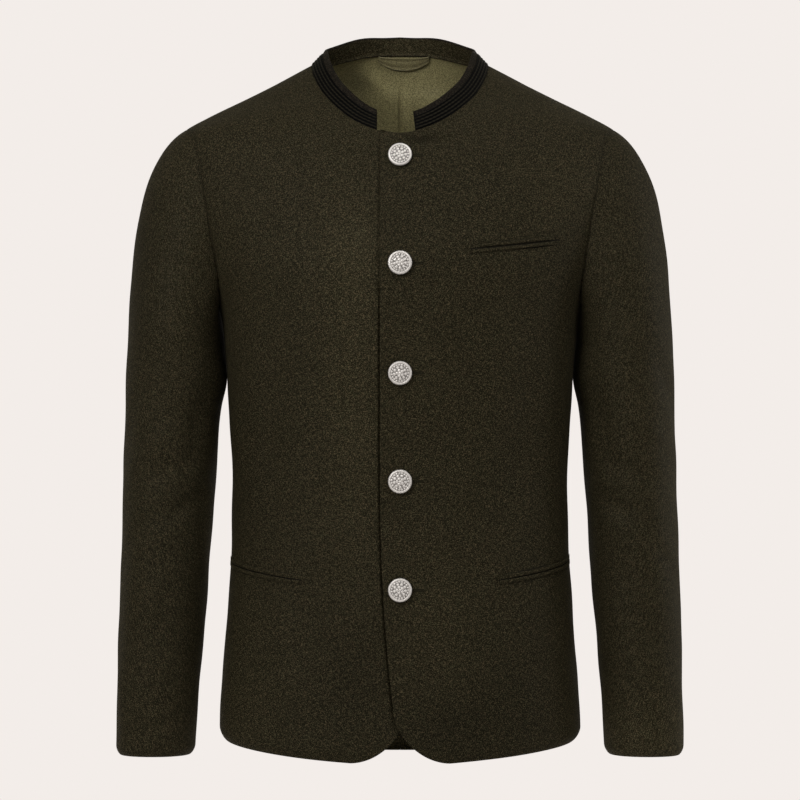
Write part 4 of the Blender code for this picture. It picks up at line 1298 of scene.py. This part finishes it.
def make_button(number, metal):
    """A domed shank button with a raised ornament, seated on the left front."""
    angle, height = np.array(0.0), np.array(BUTTON_TOP - BUTTON_SPACING * number)
    out = torso_normal(angle, height)
    seat = cloth_point("front_left", angle, height, BUTTON_GAP)
    right = np.array([1.0, 0.0, 0.0])
    up = np.cross(right, out)
    turn = np.arange(BUTTON_SEGMENTS) * 2 * math.pi / BUTTON_SEGMENTS
    around = np.outer(np.cos(turn), right) + np.outer(np.sin(turn), up)
    radii = BUTTON_RADIUS * np.sin(np.linspace(BUTTON_FIRST_RING, 1.0, BUTTON_RINGS) * math.pi / 2)
    relief = np.stack([button_relief(np.full(turn.shape, radius), turn) for radius in radii])
    dome = BUTTON_EDGE + BUTTON_DOME * (1 - (radii / BUTTON_RADIUS) ** 2)
    edge = np.sqrt(np.clip((BUTTON_RADIUS - radii) / BUTTON_ROUNDING, 0, 1))
    rise = (dome[:, None] + BUTTON_RELIEF * relief) * edge[:, None]
    rings = [seat + around * radius + np.outer(BUTTON_STAND + row, out) for radius, row in zip(radii, rise)]
    rings += [seat + around * ring.radius + out * (BUTTON_STAND - ring.depth) for ring in BUTTON_UNDERSIDE]
    points = np.concatenate([[seat + out * (BUTTON_STAND + rise[0].mean())], *rings, [seat]])
    numbers = 1 + np.arange(len(rings) * BUTTON_SEGMENTS).reshape(len(rings), BUTTON_SEGMENTS)
    ends = fan_faces(0, numbers[0]) + fan_faces(len(points) - 1, numbers[-1])
    made = make_mesh(f"button_{number + 1}_metal", points, tube_faces(numbers) + ends, [metal])
    wear = np.zeros(len(points), np.float32)
    wear[1 : 1 + relief.size] = relief.ravel()
    wear[0] = relief[0].mean()
    made.data.attributes.new("relief", "FLOAT", "POINT").data.foreach_set("value", wear)
    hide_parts(f"button_{number + 1}")


def make_buttonhole(number, thread):
    """A worked buttonhole: close stitches round a slit that runs from under the button."""
    height = BUTTON_TOP - BUTTON_SPACING * number
    straight = HOLE_END - HOLE_START
    length = 2 * straight + math.pi * HOLE_HALF
    way = np.linspace(0, length, int(length / HOLE_STITCH) * STITCH_POINTS)
    bend = np.clip((way - straight) / (math.pi * HOLE_HALF), 0, 1) * math.pi
    past_bend = way - straight - math.pi * HOLE_HALF
    x = np.where(way < straight, HOLE_START + way, HOLE_END + HOLE_HALF * np.sin(bend))
    x = np.where(past_bend > 0, HOLE_END - past_bend, x)
    z = height + HOLE_HALF * np.cos(bend)
    angle = angle_at(x, z)
    middle, out = cloth_point("front_left", angle, z), torso_normal(angle, z)
    along = unit(np.gradient(middle, axis=0))
    beside = np.cross(along, out)
    turn = np.linspace(0, 2 * math.pi, THREAD_SIDES + 1)[:-1, None]
    swell = HOLE_THREAD * (STITCH_LOW + STITCH_SWELL * np.abs(np.sin(math.pi * way / HOLE_STITCH)))
    around = np.cos(turn) * beside[:, None] * THREAD_WIDE + np.sin(turn) * out[:, None] * THREAD_FLAT
    rings = middle[:, None] + swell[:, None, None] * around
    numbers = np.arange(len(way) * THREAD_SIDES).reshape(len(way), THREAD_SIDES)
    faces = tube_faces(numbers) + numbers[[0, -1]].tolist()
    made = make_mesh(f"buttonhole_{number + 1}", rings.reshape(-1, 3), faces, [thread])
    return made


def make_loop(satin):
    """The hanging loop: a narrow stitched strap hung from the back neck seam."""
    share = np.linspace(-1.0, 1.0, LOOP_SPANS + 1)
    x = LOOP_CENTRE + LOOP_HALF * share
    across = np.linspace(-0.5, 0.5, LOOP_ROWS)[:, None]
    slack = 1 - share**2
    width = LOOP_END_WIDTH + (LOOP_WIDTH - LOOP_END_WIDTH) * slack
    heights = LOOP_TOP - LOOP_SAG * slack + across * width
    angles = math.pi - np.arcsin(np.abs(x)[None, :] / half_width_at(heights)) * np.sign(x)[None, :]
    depth = CLOTH + LINING_GAP + LINING_CLOTH + SEAM_GAP + LOOP_STAND * (1 - share**LOOP_FLATNESS)
    on_back, normal = torso_form(angles, heights), torso_normal(angles, heights)
    outer = on_back - normal * depth[None, :, None]
    swell = LOOP_SWELL * np.abs(np.cos(LOOP_ROLLS * math.pi * across))
    inner = outer - normal * (LOOP_CLOTH - LOOP_SWELL + swell + 0 * share)[..., None]
    cloth_uv = cloth_map(outer, np.zeros(len(outer)))
    made = make_shell("hanging_loop_satin", outer, inner, cloth_uv, [satin], press=0.0)
    stand_for("hanging_loop")


def add_node(tree, kind, inputs=None, **settings):
    """A shader node with its settings made and its inputs set or linked."""
    made = tree.nodes.new(kind)
    for name, value in settings.items():
        setattr(made, name, value)
    for socket, value in (inputs or {}).items():
        if isinstance(value, bpy.types.NodeSocket):
            tree.links.new(value, made.inputs[socket])
        else:
            made.inputs[socket].default_value = value
    return made


def new_material(name, finish):
    """A material with a Principled shader, and constant values on the shader's own sockets."""
    material = bpy.data.materials.new(name)
    material.use_nodes = True
    shader = material.node_tree.nodes["Principled BSDF"]
    for socket, value in finish.items():
        shader.inputs[socket].default_value = value
    return material, material.node_tree, shader


def object_place(tree):
    return add_node(tree, "ShaderNodeTexCoord").outputs["Object"]


def cloth_place(tree):
    return add_node(tree, "ShaderNodeUVMap", uv_map="cloth").outputs["UV"]


def noise(tree, vector, scale, detail=2.0, roughness=0.5):
    inputs = {"Vector": vector, "Scale": scale, "Detail": detail, "Roughness": roughness}
    return add_node(tree, "ShaderNodeTexNoise", inputs).outputs["Fac"]


def yarn(tree, cloth, across, upward, detail=2.0):
    """Noise drawn out along the cloth's threads, by its repeats to a metre both ways."""
    inputs = {"Vector": cloth, "Scale": (across, upward, 1.0)}
    return noise(tree, add_node(tree, "ShaderNodeMapping", inputs).outputs["Vector"], 1.0, detail)


def math_node(tree, operation, a, b):
    return add_node(tree, "ShaderNodeMath", {0: a, 1: b}, operation=operation).outputs[0]


def remap(tree, value, low, high, to_low=0.0, to_high=1.0):
    inputs = {"Value": value, "From Min": low, "From Max": high, "To Min": to_low, "To Max": to_high}
    return add_node(tree, "ShaderNodeMapRange", inputs).outputs[0]


def mix_colour(tree, factor, first, second):
    inputs = {0: factor, 6: first, 7: second}
    return add_node(tree, "ShaderNodeMix", inputs, data_type="RGBA").outputs[2]


def bump(tree, height, strength, distance, under=None):
    inputs = {"Height": height, "Strength": strength, "Distance": distance}
    if under is not None:
        inputs["Normal"] = under
    return add_node(tree, "ShaderNodeBump", inputs).outputs["Normal"]


def link(tree, output, shader, socket):
    tree.links.new(output, shader.inputs[socket])


def blend(tree, first, second, share):
    """Two values mixed, with a share of the first one."""
    part = math_node(tree, "MULTIPLY", first, share)
    rest = math_node(tree, "MULTIPLY", second, 1 - share)
    return math_node(tree, "ADD", part, rest)


def bands(tree, vector, scale, direction, distortion=0.0, detail_scale=1.0):
    inputs = {"Vector": vector, "Scale": scale, "Distortion": distortion, "Detail Scale": detail_scale}
    return add_node(tree, "ShaderNodeTexWave", inputs, bands_direction=direction).outputs["Fac"]


def with_painted_light(tree, colour):
    """A colour made lighter or darker by the painted light and shade that a piece keeps on its points."""
    # the nap attribute holds painted light and shade
    nap = add_node(tree, "ShaderNodeAttribute", attribute_name="nap").outputs["Fac"]
    inputs = {"Vector": colour, "Scale": math_node(tree, "ADD", nap, 1.0)}
    return add_node(tree, "ShaderNodeVectorMath", inputs, operation="SCALE").outputs["Vector"]


def make_wool(name, tones):
    """Melange wool: dark, olive and tan fibres in a fine twill, with a soft nap, a faint broad gloss and
    painted light and shade.
    """
    material, tree, shader = new_material(name, WOOL_FINISH)
    place, cloth = object_place(tree), cloth_place(tree)
    fleck = noise(tree, place, FLECK_SCALE, roughness=FIBRE_ROUGHNESS)
    warp = yarn(tree, cloth, YARN_FINE, YARN_LONG, YARN_DETAIL)
    weft = yarn(tree, cloth, YARN_LONG, YARN_FINE, YARN_DETAIL)
    mixed = blend(tree, fleck, blend(tree, warp, weft, WARP_SHARE), FLECK_SHARE)
    hue = remap(tree, noise(tree, place, HUE_SCALE), *HUE_RANGE)
    light = mix_colour(tree, hue, (*tones.olive, 1), (*tones.tan, 1))
    fibres = mix_colour(tree, remap(tree, mixed, *WOOL_RANGE), (*tones.dark, 1), light)
    link(tree, with_painted_light(tree, fibres), shader, "Base Color")
    link(tree, remap(tree, fleck, *WOOL_ROUGHNESS), shader, "Roughness")
    twill = bands(tree, cloth, TWILL_SCALE, "DIAGONAL", *TWILL_WOBBLE)
    nap = noise(tree, place, NAP_SCALE, roughness=FIBRE_ROUGHNESS)
    link(tree, bump(tree, nap, *NAP_BUMP, bump(tree, twill, *TWILL_BUMP)), shader, "Normal")
    return material


def make_satin(name, dark, light):
    """Lining satin: fine crosswise threads with a soft gloss, and painted light and shade."""
    material, tree, shader = new_material(name, SATIN_FINISH)
    threads = yarn(tree, cloth_place(tree), SATIN_LONG, SATIN_FINE)
    fleck = noise(tree, object_place(tree), FLECK_SCALE, roughness=FIBRE_ROUGHNESS)
    mixed = blend(tree, threads, fleck, THREAD_SHARE)
    shade = mix_colour(tree, remap(tree, mixed, *SATIN_RANGE), (*dark, 1), (*light, 1))
    link(tree, with_painted_light(tree, shade), shader, "Base Color")
    link(tree, remap(tree, mixed, *SATIN_ROUGHNESS), shader, "Roughness")
    link(tree, bump(tree, threads, *SATIN_BUMP), shader, "Normal")
    return material


def make_braid_material(name, dark, light):
    """Dark braid or thread: slanting plaits, with a painted highlight along each rib."""
    material, tree, shader = new_material(name, BRAID_FINISH)
    cloth = cloth_place(tree)
    plait = bands(tree, cloth, PLAIT_SCALE, "DIAGONAL", *PLAIT_WOBBLE)
    # lighter colour along each rib: a painted highlight
    rib = bands(tree, cloth, 2 * math.pi / WAVE_RATE / BRAID_RIB_PITCH, "Y")
    plaited = blend(tree, plait, yarn(tree, cloth, YARN_FINE, YARN_FINE / 2), PLAIT_SHARE)
    mixed = blend(tree, plaited, rib, PLAITED_SHARE)
    shade = mix_colour(tree, remap(tree, mixed, *BRAID_RANGE), (*dark, 1), (*light, 1))
    link(tree, shade, shader, "Base Color")
    link(tree, bump(tree, plait, *PLAIT_BUMP), shader, "Normal")
    return material


def make_metal(name, bright, tarnish):
    """Old silver: bright on the raised ornament, dark with age in its hollows."""
    material, tree, shader = new_material(name, METAL_FINISH)
    relief = add_node(tree, "ShaderNodeAttribute", attribute_name="relief").outputs["Fac"]
    patches = noise(tree, object_place(tree), TARNISH_SCALE, TARNISH_DETAIL, TARNISH_ROUGHNESS)
    worn = blend(tree, relief, patches, RELIEF_SHARE)
    shade = mix_colour(tree, remap(tree, worn, *METAL_RANGE), (*tarnish, 1), (*bright, 1))
    link(tree, shade, shader, "Base Color")
    link(tree, remap(tree, worn, *METAL_ROUGHNESS), shader, "Roughness")
    link(tree, bump(tree, patches, *TARNISH_BUMP), shader, "Normal")
    return material


def make_floor_material(name, colour):
    """A faintly mottled floor, which glows to the camera alone."""
    material, tree, shader = new_material(name, FLOOR_FINISH)
    faint = [value * FLOOR_MOTTLE for value in colour]
    mottle = noise(tree, object_place(tree), FLOOR_SCALE)
    tint = mix_colour(tree, mottle, (*faint, 1), (*colour, 1))
    link(tree, tint, shader, "Base Color")
    link(tree, tint, shader, "Emission Color")
    seen = add_node(tree, "ShaderNodeLightPath").outputs["Is Camera Ray"]
    link(tree, math_node(tree, "MULTIPLY", seen, FLOOR_GLOW), shader, "Emission Strength")
    return material


def make_stage():
    """Floor and surroundings, which the camera sees at full strength and the jacket is lit by faintly."""
    scene = bpy.context.scene
    scene.view_settings.view_transform = "Standard"
    corners = [(-1, -1), (1, -1), (1, 1), (-1, 1)]
    mesh = bpy.data.meshes.new("floor")
    mesh.from_pydata([(FLOOR_HALF * x, FLOOR_HALF * y, FLOOR_HEIGHT) for x, y in corners], [], [(0, 1, 2, 3)])
    mesh.materials.append(make_floor_material("pale_floor", FLOOR_COLOUR))
    floor = bpy.data.objects.new("floor", mesh)
    scene.collection.objects.link(floor)
    world = bpy.data.worlds.new("pale_surroundings")
    world.use_nodes = True
    tree = world.node_tree
    seen = tree.nodes["Background"]
    seen.inputs["Color"].default_value = (*BACKGROUND, 1)
    around = add_node(tree, "ShaderNodeBackground", {"Color": (*BACKGROUND, 1), "Strength": AMBIENT})
    direct = add_node(tree, "ShaderNodeLightPath").outputs["Is Camera Ray"]
    mixed = add_node(tree, "ShaderNodeMixShader", {0: direct, 1: around.outputs[0], 2: seen.outputs[0]})
    tree.links.new(mixed.outputs[0], tree.nodes["World Output"].inputs["Surface"])
    scene.world = world


def make_lamp(row):
    data = bpy.data.lights.new(row.name, "AREA")
    data.size = LAMP_SIZE
    data.energy = row.watts
    data.color = LAMP_COLOUR
    azimuth, elevation = math.radians(row.azimuth), math.radians(row.elevation)
    level = math.cos(elevation)
    away = Vector((math.sin(azimuth) * level, -math.cos(azimuth) * level, math.sin(elevation)))
    lamp = bpy.data.objects.new(row.name, data)
    lamp.location = Vector(LAMP_TARGET) + away * LAMP_DISTANCE
    lamp.rotation_euler = away.to_track_quat("Z", "Y").to_euler()
    lamp.visible_glossy = row.glossy
    bpy.context.scene.collection.objects.link(lamp)


def make_camera():
    data = bpy.data.cameras.new("camera")
    data.sensor_width = SENSOR
    data.lens = SENSOR * CAMERA_DISTANCE / (PIXEL * IMAGE_SIZE)
    camera = bpy.data.objects.new("camera", data)
    camera.location = (CAMERA_X, -CAMERA_DISTANCE, CAMERA_HEIGHT)
    camera.rotation_euler = (math.pi / 2, 0, 0)
    bpy.context.scene.collection.objects.link(camera)
    bpy.context.scene.camera = camera


def main():
    make_camera()
    make_stage()
    for row in LAMPS:
        make_lamp(row)
    wool = make_wool("wool", WOOL)
    dark_wool = make_wool("dark_wool", DARK_WOOL)
    satin = make_satin("lining_satin", SATIN_DARK, SATIN_LIGHT)
    # a darker copy of the satin: painted shade on the loop
    shaded_loop_satin = make_satin("shaded_loop_satin", LOOP_DARK, LOOP_LIGHT)
    braid = make_braid_material("braid", BRAID_DARK, BRAID_LIGHT)
    thread = make_braid_material("buttonhole_thread", THREAD_DARK, THREAD_LIGHT)
    metal = make_metal("button_metal", METAL_BRIGHT, METAL_TARNISH)
    for panel in PANELS:
        make_torso_panel(panel, wool, satin, thread)
    for panel in ("back_left", "back_right"):
        make_lining(panel, satin)
    for side in ("left", "right"):
        make_sleeve(side, wool, satin)
    make_collar(wool, dark_wool)
    make_braid(braid)
    for pocket in POCKETS:
        make_pocket(pocket, wool, braid)
    for number in range(BUTTON_COUNT):
        make_button(number, metal)
    make_loop(shaded_loop_satin)


main()
